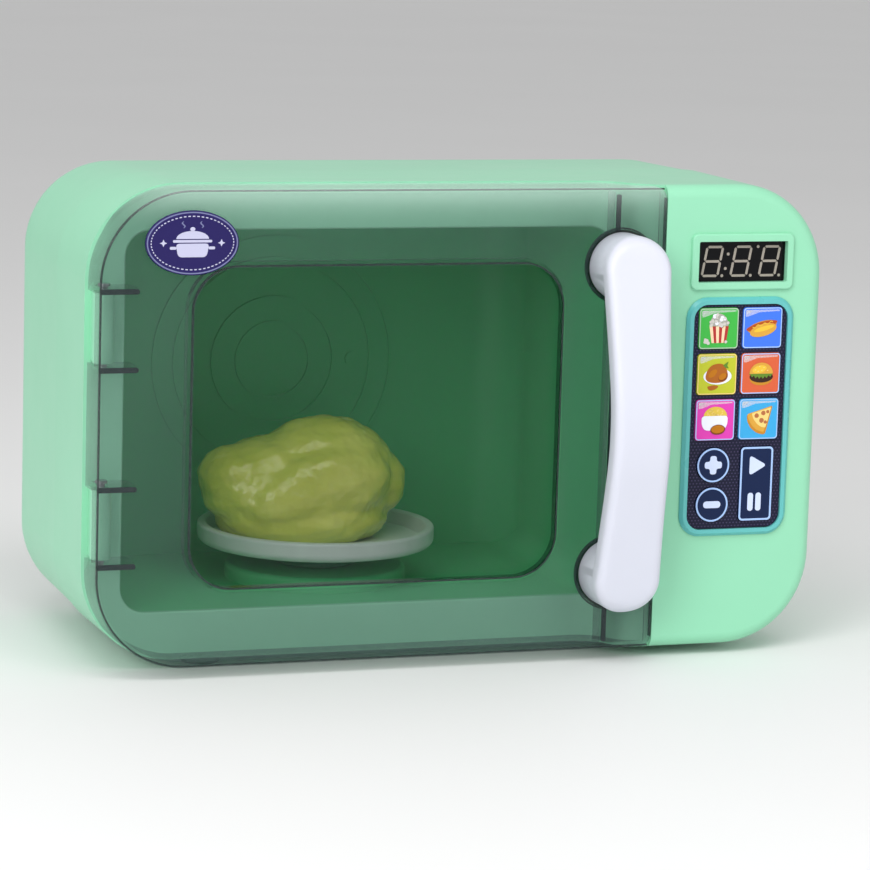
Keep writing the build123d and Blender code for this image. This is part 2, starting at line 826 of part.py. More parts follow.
def keypad_overlay():
    sheet = prism(keypad_outline(keypad_border + small_clearance), front_y - overlay_rise, front_y)
    for _, outline, _ in key_drawings():
        sheet -= prism(outline(key_gap), front_y - overlay_rise - 1, front_y + 1)
    return sheet


def key_cap(outline, plunger):
    front = front_y - overlay_rise - key_rise
    flange_y = front_y + end_clearance
    cap = prism(outline(0), front, flange_y + key_flange_thickness)
    cap = chamfer(cap.faces().sort_by(Axis.Y)[0].edges(), key_chamfer)
    cap += prism(outline(key_flange), flange_y, flange_y + key_flange_thickness)
    end_y = board_y - switch_height - switch_gap - key_travel
    return cap + rod_y(*plunger, plunger_radius, flange_y, end_y)


def key_switches():
    switches = []
    half = switch_size / 2
    for _, _, (x, z) in key_drawings():
        body = block(x - half, x + half, board_y - 0.75 * switch_height, board_y, z - half, z + half)
        switches.append(body + rod_y(x, z, plunger_radius - 0.2, board_y - switch_height, board_y))
    return switches


def main_board():
    low = key_opening_limits()[1] - 2 * board_margin
    high = display_z + display_opening_height / 2 + board_margin
    board = prism(rounded(controls_x - board_width / 2, controls_x + board_width / 2, low, high, 1.5),
                  board_y, board_y + board_thickness)
    for x, z in board_posts():
        board -= rod_y(x, z, board_screw_radius + screw_clearance, board_y - 1, board_y + 3)
    return board


def board_screws():
    screws = []
    for x, z in board_posts():
        seat = board_y + board_thickness
        shank = rod_y(x, z, board_screw_radius, board_y - board_screw_length, seat)
        screws.append(shank + rod_y(x, z, 2 * board_screw_radius, seat, seat + board_screw_head))
    return screws


def display_module():
    width, height = display_width - 2 * small_clearance, display_opening_height - 2 * small_clearance
    return prism(display_outline(width, height, 0.5), front_y + display_recess, board_y)


def segment(start, end):
    """One lit bar of a digit as a long hexagon between two points."""
    along = Vector(*end) - Vector(*start)
    length = along.length - segment_gap
    half = segment_width / 2
    tip = length / 2
    shape = make_face(Polyline((-tip, 0), (half - tip, half), (tip - half, half), (tip, 0),
                               (tip - half, -half), (half - tip, -half), close=True))
    middle = (Vector(*start) + Vector(*end)) * 0.5
    return Pos(middle.X, middle.Y) * Rot(0, 0, degrees(atan2(along.Y, along.X))) * shape


def display_segments():
    """Three slanted figures of seven bars with a colon and points."""
    half_width = (digit_width - segment_width) / 2
    half_height = (digit_height - segment_width) / 2
    lean = tan(radians(digit_slant))

    def corner(x, z, center):
        return (center + x + z * lean, display_z + z)

    drawings = []
    for index in range(3):
        center = controls_x + (index - 1) * digit_pitch
        left, right = -half_width, half_width
        stops = (-half_height, 0.0, half_height)
        for z in stops:
            drawings.append(segment(corner(left, z, center), corner(right, z, center)))
        for x in (left, right):
            for low, high in zip(stops, stops[1:]):
                drawings.append(segment(corner(x, low, center), corner(x, high, center)))
        drawings.append(disc(center + digit_width / 2 + point_offset, display_z - half_height, point_radius))
    colon_x = controls_x - digit_pitch / 2
    for z in (-half_height / 2, half_height / 2):
        drawings.append(disc(colon_x + z * lean, display_z + z, point_radius))
    last_x = controls_x + digit_pitch / 2 + half_height * lean
    drawings.append(disc(last_x, display_z + half_height, point_radius))
    face_y = front_y + display_recess
    return [prism(drawing, face_y - segment_rise, face_y) for drawing in drawings]


def door_switch():
    """Small switch on the cavity's side whose lever the door's tongue trips."""
    width, depth, height = door_switch_size
    lever_width, lever_depth, lever_drop = door_switch_lever
    low_x, low_y, low_z = mouth_right + liner_wall, seat_y + body_wall, mid_z + door_switch_height
    body = block(low_x, low_x + width, low_y, low_y + depth, low_z, low_z + height)
    side = low_x + (width - lever_width) / 2
    return body + block(side, side + lever_width, low_y, low_y + lever_depth, low_z - lever_drop, low_z + 1)


# ---------------------------------------------------------------- turntable drive
def gear_drawing(teeth, phase):
    """Involute outline with one tooth centred at the phase angle, in degrees."""
    pitch_radius = gear_module * teeth / 2
    base_radius = pitch_radius * cos(radians(pressure_angle))
    tip_radius = pitch_radius + 0.8 * gear_module
    root_radius = pitch_radius - 1.15 * gear_module
    pressure = radians(pressure_angle)
    half_tooth = (pi * gear_module / 2 - gear_backlash) / 2 / pitch_radius

    def half_angle(radius):
        roll = acos(min(1.0, base_radius / radius))
        return half_tooth + tan(pressure) - pressure - (tan(roll) - roll)

    radii = [root_radius, max(base_radius, root_radius + 0.05), pitch_radius,
             (pitch_radius + tip_radius) / 2, tip_radius]
    points = []
    for tooth in range(teeth):
        middle = radians(phase) + 2 * pi * tooth / teeth
        for side, ordered in ((-1, radii), (1, radii[::-1])):
            for radius in ordered:
                angle = middle + side * half_angle(radius)
                points.append((radius * cos(angle), radius * sin(angle)))
    return make_face(Polyline(*points, close=True))


def meshing_phase(phase, teeth, bearing, other_teeth):
    """Phase of a gear that lies at a bearing from another and meshes with it."""
    share = ((bearing - phase) % (360.0 / teeth)) / (360.0 / teeth)
    return bearing + 180.0 - (0.5 - share) * 360.0 / other_teeth


def gear(place, teeth, phase, level):
    low = gear_base_z + level * gear_level_pitch
    return column(Pos(*place) * gear_drawing(teeth, phase), low, low + gear_face)


output_place = (turntable_x, turntable_y)
second_place = polar(gear_pitch_distance, train_angles[0])
first_place = polar(gear_pitch_distance, train_angles[1], *second_place)
motor_place = polar(gear_pitch_distance, train_angles[2], *first_place)
second_phase = meshing_phase(0.0, wheel_teeth, train_angles[0], pinion_teeth)
first_phase = meshing_phase(0.0, wheel_teeth, train_angles[1], pinion_teeth)
motor_phase = meshing_phase(0.0, wheel_teeth, train_angles[2], pinion_teeth)
gearbox_cover_z = gear_base_z + 3 * gear_level_pitch
hub_low_z = floor_top_z + hub_gap


def output_gear():
    """Wheel and turntable shaft in one moulding."""
    x, y = output_place
    low = gearbox_floor_z + gearbox_wall + hub_gap
    shaft = rod_z(x, y, shaft_radius, gearbox_floor_z + hub_gap, plate_bottom_z - shaft_end_drop)
    shaft += rod_z(x, y, shaft_radius + shaft_collar, low, gear_base_z + 2 * gear_level_pitch)
    return shaft + gear(output_place, wheel_teeth, 0.0, 2)


def idler_gear(place, pinion_phase, level):
    """Large wheel with a small pinion on top, on a fixed axle."""
    low = gearbox_floor_z + gearbox_wall + hub_gap
    top = gear_base_z + (level + 2) * gear_level_pitch - (gear_level_pitch - gear_face)
    solid = gear(place, wheel_teeth, 0.0, level)
    solid += rod_z(*place, gear_module * pinion_teeth / 2 - 1.15 * gear_module, low, top)
    solid += gear(place, pinion_teeth, pinion_phase, level + 1)
    return solid - rod_z(*place, axle_radius + running_clearance, low, top)


def gear_axles():
    places = (second_place, first_place)
    return [rod_z(*place, axle_radius, gearbox_floor_z + axle_end_gap, gearbox_cover_z + gearbox_wall)
            for place in places]


def motor_low_z():
    return gear_base_z + gear_level_pitch


def drive_motor():
    x, y = motor_place
    outline = Pos(x, y) * RectangleRounded(motor_width, motor_breadth, motor_corner_radius)
    body = column(outline, motor_low_z(), motor_low_z() + motor_length)
    return body - rod_z(x, y, axle_radius + running_clearance, motor_low_z(),
                        motor_low_z() + motor_shaft_depth + axle_end_gap)


def motor_pinion():
    x, y = motor_place
    shaft = rod_z(x, y, axle_radius, gear_base_z, motor_low_z() + motor_shaft_depth)
    return gear(motor_place, pinion_teeth, motor_phase, 0) + shaft


def gearbox_base():
    x, y = output_place
    low, top = gearbox_floor_z, gearbox_cover_z
    tray = rod_z(x, y, gearbox_radius, low, top)
    for angle in gearbox_ear_angles():
        ear = polar(gearbox_radius + gearbox_ear_reach / 2, angle)
        tray += rod_z(*ear, post_radius + gearbox_ear_rim, low, low + gearbox_wall)
    tray -= rod_z(x, y, gearbox_radius - gearbox_wall, low + gearbox_wall, top)
    for angle in gearbox_ear_angles():
        ear = polar(gearbox_radius + gearbox_ear_reach / 2, angle)
        tray -= rod_z(*ear, post_radius + small_clearance, low + gearbox_wall, top)
        tray -= rod_z(*ear, board_screw_radius + screw_clearance, low, low + gearbox_wall)
    tray -= rod_z(x, y, shaft_radius + running_clearance, low, low + gearbox_wall)
    for place in (second_place, first_place):
        tray -= rod_z(*place, axle_radius, low + axle_end_gap, low + gearbox_wall)
    return tray


def gearbox_cover():
    x, y = output_place
    low, top = gearbox_cover_z, gearbox_cover_z + gearbox_wall
    cover = rod_z(x, y, gearbox_radius, low, top)
    cover -= rod_z(x, y, shaft_radius + running_clearance, low, top)
    for angle in gearbox_ear_angles():
        ear = polar(gearbox_radius + gearbox_ear_reach / 2, angle)
        cover -= rod_z(*ear, post_radius + small_clearance, low, top)
    for place in (second_place, first_place):
        cover -= rod_z(*place, axle_radius, low, top)
    outline = Pos(*motor_place) * RectangleRounded(motor_width, motor_breadth, motor_corner_radius)
    return cover - column(outline, low, top)


def gearbox_screws():
    screws = []
    for angle in gearbox_ear_angles():
        place = polar(gearbox_radius + gearbox_ear_reach / 2, angle)
        seat = gearbox_floor_z
        shank = rod_z(*place, board_screw_radius, seat, seat + gearbox_wall + board_screw_length)
        head_z = seat - gearbox_gap + gearbox_screw_gap
        screws.append(shank + rod_z(*place, 2 * board_screw_radius, head_z, seat))
    return screws


def drive_hub():
    x, y = output_place
    top = plate_bottom_z - hub_gap
    hub = rod_z(x, y, hub_radius, hub_low_z, top)
    hub = chamfer(hub.edges().sort_by(Axis.Z)[-1], 0.8)
    for width, length in ((lug_length, lug_width), (lug_width, lug_length)):
        hub += block(x - width / 2, x + width / 2, y - length / 2, y + length / 2, top - 1, top + lug_height)
    return hub - rod_z(x, y, shaft_radius, hub_low_z, plate_bottom_z - shaft_end_drop)


def turntable_plate():
    """Tray with a thick rounded rim and a skirt that drops over the hub."""
    low, high = plate_bottom_z, plate_bottom_z + plate_height
    rim, thick = plate_radius, plate_thickness
    inner_rim = rim - plate_rim_width
    profile = Polyline((0, low), (rim, low), (rim, high), (inner_rim, high),
                       (inner_rim - plate_rim_slope, low + thick), (0, low + thick), (0, low))
    section = make_face(profile)
    section = fillet([v for v in section.vertices() if v.Y > high - 0.01], plate_rim_edge)
    section = fillet(section.vertices().sort_by(Axis.Y)[:2].sort_by(Axis.X)[-1], plate_foot_edge)
    plate = Pos(turntable_x, turntable_y, 0) * revolve(Plane.XZ * section, Axis.Z)
    inner = hub_radius + end_clearance
    skirt = rod_z(turntable_x, turntable_y, inner + skirt_wall, low - skirt_height, low + thick / 2)
    plate += skirt - rod_z(turntable_x, turntable_y, inner, low - skirt_height, low)
    depth = lug_height + hub_gap / 2
    for width, length in ((lug_length, lug_width), (lug_width, lug_length)):
        half_x, half_y = width / 2 + hub_gap, length / 2 + hub_gap
        plate -= block(turntable_x - half_x, turntable_x + half_x, turntable_y - half_y,
                       turntable_y + half_y, low - 1, low + depth)
    return plate


# ---------------------------------------------------------------- play chicken
def play_chicken():
    """Roast chicken lying on its back, body along X, on the plate's floor."""
    rest_z = plate_bottom_z + plate_thickness + chicken_rest_gap
    half, girth = chicken_length / 2, chicken_girth / 2
    center_z = rest_z + 0.84 * girth
    outline = Spline((-half, 0.26 * girth), (-0.82 * half, 0.62 * girth), (-0.25 * half, 0.9 * girth),
                     (0.35 * half, girth), (0.85 * half, 0.62 * girth), (half, 0))
    section = make_face(outline + Polyline((half, 0), (-half, 0), (-half, 0.26 * girth)))
    bird = revolve(section, Axis.X)
    for side in (-1, 1):
        thigh = Spline((-leg_back, 0), (-0.77 * leg_back, 0.77 * thigh_radius), (0, thigh_radius),
                       (0.45 * leg_front, 0.46 * thigh_radius), (0.87 * leg_front, ankle_radius),
                       (leg_front, 0))
        leg = revolve(make_face(thigh + Polyline((leg_front, 0), (-leg_back, 0))), Axis.X)
        bird += Pos(leg_forward, side * leg_spread, -leg_drop) * Rot(0, leg_pitch, side * leg_turn) * leg
    bird = Pos(turntable_x + chicken_shift, turntable_y, center_z) * bird
    return bird - block(-body_width, body_width, front_y, rear_y, rest_z - 3 * girth, rest_z)


# ---------------------------------------------------------------- service parts at the back
def battery_box():
    back = rear_y - battery_door_thickness - service_gap
    box = prism(battery_outline(0), back - battery_box_depth, back)
    box += prism(battery_door_outline(battery_flange), rear_y - body_wall - battery_box_wall,
                 rear_y - body_wall)
    box += rod_y(service_x, battery_screw_z, post_radius, back - battery_boss_depth, back)
    box -= rod_y(service_x, battery_screw_z, screw_radius, back - battery_boss_depth + 1, back)
    inner = -battery_box_wall
    box -= prism(service_panel(battery_z, battery_box_width + 2 * inner, battery_box_height + 2 * inner, 1.0),
                 back - battery_box_depth + battery_box_wall, back + 1)
    return box


def battery_places():
    pitch = (battery_box_width - 2 * battery_box_wall) / battery_count
    return [service_x + (index - (battery_count - 1) / 2) * pitch for index in range(battery_count)]


def battery_axis_y():
    box_front = rear_y - battery_door_thickness - service_gap - battery_box_depth
    return box_front + battery_box_wall + battery_radius


def battery_cells():
    cells = []
    low, high = battery_z - battery_length / 2, battery_z + battery_length / 2
    for index, x in enumerate(battery_places()):
        y = battery_axis_y()
        upright = index % 2 == 0
        can_low = low if upright else low + battery_button_height
        can_high = high - battery_button_height if upright else high
        body = rod_z(x, y, battery_radius, can_low, can_high)
        cells.append(body + rod_z(x, y, battery_button_radius, low, high))
    return cells


def battery_contacts():
    """Spring plates at both ends of the cells."""
    gap = battery_box_height / 2 - battery_box_wall
    width = battery_box_width - 2 * battery_box_wall - 2 * contact_margin
    contacts = []
    for side in (-1, 1):
        wall = battery_z + side * gap
        plate_z = sorted((wall, wall - side * contact_thickness))
        y = battery_axis_y()
        plate = block(service_x - width / 2, service_x + width / 2, y - contact_reach, y + contact_reach,
                      *plate_z)
        for x in battery_places():
            tip = battery_z + side * (battery_length / 2 + contact_tip_gap)
            plate += rod_z(x, y, contact_tip_radius, *sorted((tip, wall - side * contact_thickness / 2)))
        contacts.append(plate)
    return contacts


def battery_door():
    cover = prism(battery_door_outline(0), rear_y - battery_door_thickness, rear_y)
    cover -= rod_y(service_x, battery_screw_z, screw_radius + screw_clearance, rear_y - 3, rear_y + 1)
    cover -= rod_y(service_x, battery_screw_z, screw_head_radius + small_clearance,
                   rear_y - battery_screw_sink, rear_y + 1)
    for step in range(3):
        place = Pos(service_x, battery_z + grip_groove_pitch * step)
        groove = place * SlotOverall(grip_groove_length, grip_groove_width)
        cover -= prism(groove, rear_y - grip_groove_depth, rear_y + 1)
    return cover


def speaker():
    rim_y = speaker_depth - speaker_rim_height
    profile = Polyline((0, 0), (speaker_magnet_radius, 0), (speaker_magnet_radius, speaker_magnet_height),
                       (speaker_radius, rim_y), (speaker_radius, speaker_depth),
                       (speaker_radius - speaker_rim_width, speaker_depth),
                       (speaker_cone_radius, speaker_depth - speaker_cone_drop),
                       (0, speaker_depth - speaker_dome_drop), (0, 0))
    near_y = rear_y - body_wall - speaker_depth
    plane = Plane(origin=(service_x, near_y, speaker_z), x_dir=(1, 0, 0), z_dir=(0, 0, 1))
    return revolve(plane * make_face(profile), Axis((service_x, 0, speaker_z), (0, 1, 0)))


def power_switch():
    face = rear_y - body_wall
    half_x = power_travel / 2 + power_knob_width / 2 + power_body_margin
    half_z = power_body_height / 2
    body = block(service_x - half_x, service_x + half_x, face - power_body_depth, face, power_z - half_z,
                 power_z + half_z)
    slot_x = power_travel / 2 + power_knob_width / 2 + service_gap
    slot_z = power_knob_height / 2 + service_gap
    return body - block(service_x - slot_x, service_x + slot_x, face - power_slot_depth, face + 1,
                        power_z - slot_z, power_z + slot_z)


def power_slider():
    face = rear_y - body_wall
    center = service_x - power_travel / 2
    half_x, half_z = power_knob_width / 2, power_knob_height / 2
    knob = block(center - half_x, center + half_x, face - power_slot_depth + service_gap,
                 rear_y - power_recess + power_knob_rise, power_z - half_z, power_z + half_z)
    for step in (-1, 0, 1):
        groove_x = center + power_groove_pitch * step
        knob -= block(groove_x - power_groove_width / 2, groove_x + power_groove_width / 2,
                      rear_y - power_recess, rear_y + 1, power_z - 2 * half_z, power_z + 2 * half_z)
    return knob


# ---------------------------------------------------------------- small parts
def cabinet_lamp_lens():
    x, y = turntable_x, turntable_y
    low = mouth_top
    flange_z = low + liner_wall
    lens = rod_z(x, y, lamp_radius - small_clearance / 2, low, flange_z)
    return lens + rod_z(x, y, lamp_radius + lamp_flange, flange_z, flange_z + lamp_flange_thickness)


def cabinet_lamp():
    x, y = turntable_x, turntable_y
    seat = mouth_top + liner_wall + lamp_flange_thickness
    top = seat + lamp_base_height
    lamp = rod_z(x, y, lamp_radius, seat, top)
    for side in (-1, 1):
        lamp += rod_z(x + side * lamp_led_offset, y, lamp_led_radius, top, top + lamp_led_height)
    return lamp


def foot_places():
    rows = (front_y + foot_front_setback, rear_y - foot_rear_setback)
    return [(side * (right_x - foot_inset), y) for side in (-1, 1) for y in rows]


def rubber_feet():
    feet = []
    for x, y in foot_places():
        foot = rod_z(x, y, foot_radius, 0, base_z + body_wall)
        foot = chamfer(foot.edges().sort_by(Axis.Z)[0], foot_chamfer)
        shell = prism(body_section(0), front_y, parting_y) if y < parting_y else rear_block(
            0, parting_y, rear_y)
        feet.append(foot - shell)
    return feet


def case_screws():
    screws = []
    for x, z in case_screw_places():
        seat = parting_y + case_screw_seat
        shank = rod_y(x, z, screw_radius, parting_y - case_screw_length + 1, seat)
        screws.append(shank + rod_y(x, z, case_screw_head_radius, seat, seat + case_screw_head_height))
    return screws


def battery_screw():
    seat = rear_y - battery_screw_sink
    shank = rod_y(service_x, battery_screw_z, screw_radius, rear_y - battery_boss_depth, seat)
    return shank + rod_y(service_x, battery_screw_z, screw_head_radius, seat, rear_y - 0.1)


# ---------------------------------------------------------------- one file for each piece
save("front_shell", front_shell())
save("rear_shell", rear_shell())
save("cavity_liner", cavity_liner())
save("door_shell", door_shell())
save("door_handle", handle())
save("handle_screws", *handle_screws())
save("hinge_pins", *hinge_pins())
save("door_badge", door_badge())
save("keypad_frame", keypad_frame())
save("keypad_overlay", keypad_overlay())
for name, outline, plunger in key_drawings():
    save(f"key_{name}", key_cap(outline, plunger))
save("key_switches", *key_switches())
save("main_board", main_board())
save("board_screws", *board_screws())
save("display_module", display_module())
save("display_segments", *display_segments())
save("door_switch", door_switch())
save("turntable_plate", turntable_plate())
save("drive_hub", drive_hub())
save("output_gear", output_gear())
save("first_idler_gear", idler_gear(first_place, first_phase, 0))
save("second_idler_gear", idler_gear(second_place, second_phase, 1))
save("motor_pinion", motor_pinion())
save("gear_axles", *gear_axles())
save("drive_motor", drive_motor())
save("gearbox_base", gearbox_base())
save("gearbox_cover", gearbox_cover())
save("gearbox_screws", *gearbox_screws())
save("play_chicken", play_chicken())
save("battery_box", battery_box())
save("battery_cells", *battery_cells())
save("battery_contacts", *battery_contacts())
save("battery_door", battery_door())
save("battery_screw", battery_screw())
save("speaker", speaker())
save("power_switch", power_switch())
save("power_slider", power_slider())
save("lamp_lens", cabinet_lamp_lens())
save("cavity_lamp", cabinet_lamp())
save("rubber_feet", *rubber_feet())
save("case_screws", *case_screws())
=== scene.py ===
import json
import random
from math import cos, hypot, pi, radians, sin, sqrt

import bmesh
import bpy
from mathutils import Matrix, Vector, geometry, noise


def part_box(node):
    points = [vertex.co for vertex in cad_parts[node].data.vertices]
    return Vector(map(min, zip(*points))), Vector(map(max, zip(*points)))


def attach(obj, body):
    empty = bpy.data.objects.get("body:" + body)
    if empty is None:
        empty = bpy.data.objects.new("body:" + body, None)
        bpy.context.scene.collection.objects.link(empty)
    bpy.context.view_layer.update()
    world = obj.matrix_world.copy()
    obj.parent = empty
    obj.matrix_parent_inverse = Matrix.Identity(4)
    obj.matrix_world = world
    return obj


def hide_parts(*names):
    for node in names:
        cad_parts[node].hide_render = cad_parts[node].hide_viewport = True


# Looks of a toy microwave oven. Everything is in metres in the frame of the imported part: X to the right,
# Y to the back, Z up. Small shapes are drawn in millimetres and scaled by MM.
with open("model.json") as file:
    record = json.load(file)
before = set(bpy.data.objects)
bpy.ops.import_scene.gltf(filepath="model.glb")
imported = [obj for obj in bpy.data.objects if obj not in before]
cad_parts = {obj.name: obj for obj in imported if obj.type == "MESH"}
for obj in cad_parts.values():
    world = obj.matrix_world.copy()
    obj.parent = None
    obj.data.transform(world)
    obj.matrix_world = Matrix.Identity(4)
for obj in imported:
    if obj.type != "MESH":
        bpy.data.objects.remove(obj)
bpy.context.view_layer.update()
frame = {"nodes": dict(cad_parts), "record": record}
MM = 0.001

# ---------------------------------------------------------------- places taken from the frame
DOOR_LOW, DOOR_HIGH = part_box("door_shell")
HANDLE_LOW, HANDLE_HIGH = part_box("door_handle")
BADGE_LOW, BADGE_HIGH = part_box("door_badge")
PLATE_LOW, PLATE_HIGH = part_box("turntable_plate")
CHICKEN_LOW, CHICKEN_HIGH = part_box("play_chicken")
SCREW_LOW, SCREW_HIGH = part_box("battery_screw")

# ---------------------------------------------------------------- camera
CAMERA_PLACE = Vector((-0.502, -1.437, 0.3329))
CAMERA_YAW, CAMERA_PITCH, CAMERA_ROLL = 0.34009532, 0.16206229, 0.02950336
CAMERA_LENS = 157.09
SENSOR_WIDTH = 36.0

# ---------------------------------------------------------------- sizes of what is added, millimetres
PRINT_GAP = 0.02
PRINT_LAYER = 0.03
HANDLE_EDGE = 3.4
HANDLE_BACK_EDGE = 1.6
HANDLE_THICKNESS = 8.5
HANDLE_END_ROUND = 8.0
HANDLE_SLOPE = 11.0
HANDLE_BOW_RADIUS = 100.0
BOSS_RADIUS = 13.5
BOSS_SINK = 1.0
WAIST_PULL = 1.7
DOT_PITCH = 1.45

# ---------------------------------------------------------------- sizes of the door, millimetres in the frame
WINDOW_LEFT, WINDOW_RIGHT = -111.9, 38.0
WINDOW_LOW, WINDOW_TOP = 35.8, 160.2
WINDOW_RECESS = 4.5
WINDOW_RADIUS = 17.0
DOOR_WALL = 2.0
STEP_SKIN = 0.6
FACE_SKIN = 0.1
END_SKIN = 0.05
RIB_SKIN = 1.3
RIB_SLACK = 4.0
RIB_START = 2.5
POCKET_REACH = 1.4
LINE_START = 0.5
LINE_DEPTH = 1.0
WINDOW_LINE_GAP = 0.2
LONG_RIB_END = 3.0
HINGE_RIB_REACH = 14.5
LONG_RIB_INSET = 20.0
DOOR_CORNER_RADIUS = 36.4
EDGE_LINE_INSET = 0.5
EDGE_LINE_WIDTH = 0.7
BOSS_LINE_GAP = 1.05
# painted top light on the smoky door: how far down from its top it reaches and how sharply it fades
TOP_LIGHT_PAINT_REACH = 20.0
TOP_LIGHT_PAINT_FALL = 3.0


# ---------------------------------------------------------------- materials
def linear(red, green, blue):
    """A colour given as it is seen, 0 to 255, as the linear values that shaders take."""
    def channel(value):
        value /= 255
        return value / 12.92 if value <= 0.04045 else ((value + 0.055) / 1.055) ** 2.4
    return (channel(red), channel(green), channel(blue), 1.0)


class Nodes:
    """A material's node tree, with short calls to add and join nodes."""

    def __init__(self, name):
        self.material = bpy.data.materials.new(name)
        self.material.use_nodes = True
        self.tree = self.material.node_tree
        self.shader = self.tree.nodes["Principled BSDF"]
        self.coords = self.add("ShaderNodeTexCoord").outputs["Object"]

    def add(self, kind, **values):
        node = self.tree.nodes.new(kind)
        for key, value in values.items():
            if key in node.inputs:
                node.inputs[key].default_value = value
            else:
                setattr(node, key, value)
        return node

    def join(self, source, target):
        self.tree.links.new(source, target)

    def noise(self, scale, detail=2.0, stretch=None):
        source = self.coords
        if stretch:
            mapping = self.add("ShaderNodeMapping")
            mapping.inputs["Scale"].default_value = stretch
            self.join(source, mapping.inputs["Vector"])
            source = mapping.outputs["Vector"]
        node = self.add("ShaderNodeTexNoise", Scale=scale, Detail=detail)
        self.join(source, node.inputs["Vector"])
        return node.outputs["Fac"]

    def blend(self, factor, first, second):
        """Mixes two colours by a factor and returns the output."""
        node = self.add("ShaderNodeMix", data_type="RGBA")
        self.join(factor, node.inputs["Factor"])
        for value, socket in ((first, node.inputs[6]), (second, node.inputs[7])):
            if isinstance(value, bpy.types.NodeSocket):
                self.join(value, socket)
            else:
                socket.default_value = value
        return node.outputs[2]

    def spread(self, value, low, high):
        """Maps a 0 to 1 value to a range."""
        node = self.add("ShaderNodeMapRange")
        node.inputs["To Min"].default_value = low
        node.inputs["To Max"].default_value = high
        self.join(value, node.inputs["Value"])
        return node.outputs["Result"]

    def math(self, operation, first, second=None):
        node = self.add("ShaderNodeMath", operation=operation)
        for index, value in enumerate((first, second)):
            if isinstance(value, bpy.types.NodeSocket):
                self.join(value, node.inputs[index])
            elif value is not None:
                node.inputs[index].default_value = value
        return node.outputs[0]

    def bump(self, height, distance, strength=1.0):
        node = self.add("ShaderNodeBump", Strength=strength, Distance=distance)
        self.join(height, node.inputs["Height"])
        self.join(node.outputs["Normal"], self.shader.inputs["Normal"])


def shade(color, factor):
    return tuple(min(1.0, channel * factor) for channel in color[:3]) + (1.0,)


def plastic(name, color, roughness=0.32, mottle=0.05, grain=900.0, depth=0.00002, coat=0.0, mirror=0.5,
            glow=0.0):
    """Moulded plastic with faint flow marks in its colour, uneven gloss and a fine grain."""
    nodes = Nodes(name)
    cloud = nodes.noise(14.0, 3.0)
    color_out = nodes.blend(cloud, shade(color, 1 - mottle), shade(color, 1 + mottle))
    nodes.join(color_out, nodes.shader.inputs["Base Color"])
    gloss = nodes.spread(nodes.noise(60.0, 2.0), roughness - 0.04, roughness + 0.05)
    nodes.join(gloss, nodes.shader.inputs["Roughness"])
    nodes.shader.inputs["Coat Weight"].default_value = coat
    nodes.shader.inputs["Coat Roughness"].default_value = 0.08
    nodes.shader.inputs["Specular IOR Level"].default_value = mirror
    nodes.shader.inputs["Subsurface Weight"].default_value = glow
    nodes.shader.inputs["Subsurface Radius"].default_value = (0.003, 0.003, 0.003)
    nodes.bump(nodes.noise(grain, 2.0), depth)
    return nodes.material


def smoky(name, color, opacity, roughness=0.07, mirror=0.5, painted_top_light=None):
    """Clear tinted plastic: what is behind shows through, and the surface mirrors the lights. A pale colour
    given
    here is painted light: the tint turns to it towards the door's top, where light from above comes in."""
    nodes = Nodes(name)
    cloud = nodes.noise(9.0, 2.0)
    tint = nodes.blend(cloud, shade(color, 0.93), shade(color, 1.07))
    # painted light: the tint fades to the pale colour over the door's top, for light from above coming in
    if painted_top_light:
        split = nodes.add("ShaderNodeSeparateXYZ")
        nodes.join(nodes.coords, split.inputs[0])
        rise = nodes.add("ShaderNodeMapRange")
        rise.inputs["From Min"].default_value = DOOR_HIGH.z - TOP_LIGHT_PAINT_REACH * MM
        rise.inputs["From Max"].default_value = DOOR_HIGH.z
        nodes.join(split.outputs["Z"], rise.inputs["Value"])
        tint = nodes.blend(nodes.math("POWER", rise.outputs["Result"], TOP_LIGHT_PAINT_FALL), tint, painted_top_light)
    nodes.join(tint, nodes.shader.inputs["Base Color"])
    nodes.shader.inputs["Alpha"].default_value = opacity
    nodes.shader.inputs["IOR"].default_value = 1.45
    nodes.shader.inputs["Specular IOR Level"].default_value = mirror
    gloss = nodes.spread(nodes.noise(30.0, 2.0), roughness, roughness + 0.03)
    nodes.join(gloss, nodes.shader.inputs["Roughness"])
    nodes.bump(nodes.noise(22.0, 1.0), 0.00004, 0.4)
    return nodes.material


def metal(name, color, roughness=0.3):
    """Plated steel with fine turning marks."""
    nodes = Nodes(name)
    lines = nodes.noise(700.0, 2.0, (0.15, 1.0, 1.0))
    nodes.join(nodes.blend(lines, shade(color, 0.85), color), nodes.shader.inputs["Base Color"])
    nodes.shader.inputs["Metallic"].default_value = 1.0
    nodes.join(nodes.spread(lines, roughness - 0.08, roughness + 0.1), nodes.shader.inputs["Roughness"])
    nodes.bump(lines, 0.00002)
    return nodes.material


def printed(name, color, roughness=0.25):
    """Ink on a key: nearly even, with a slight texture of the print."""
    return plastic(name, color, roughness, 0.03, 1800.0, 0.000008, 0.0, 0.22)


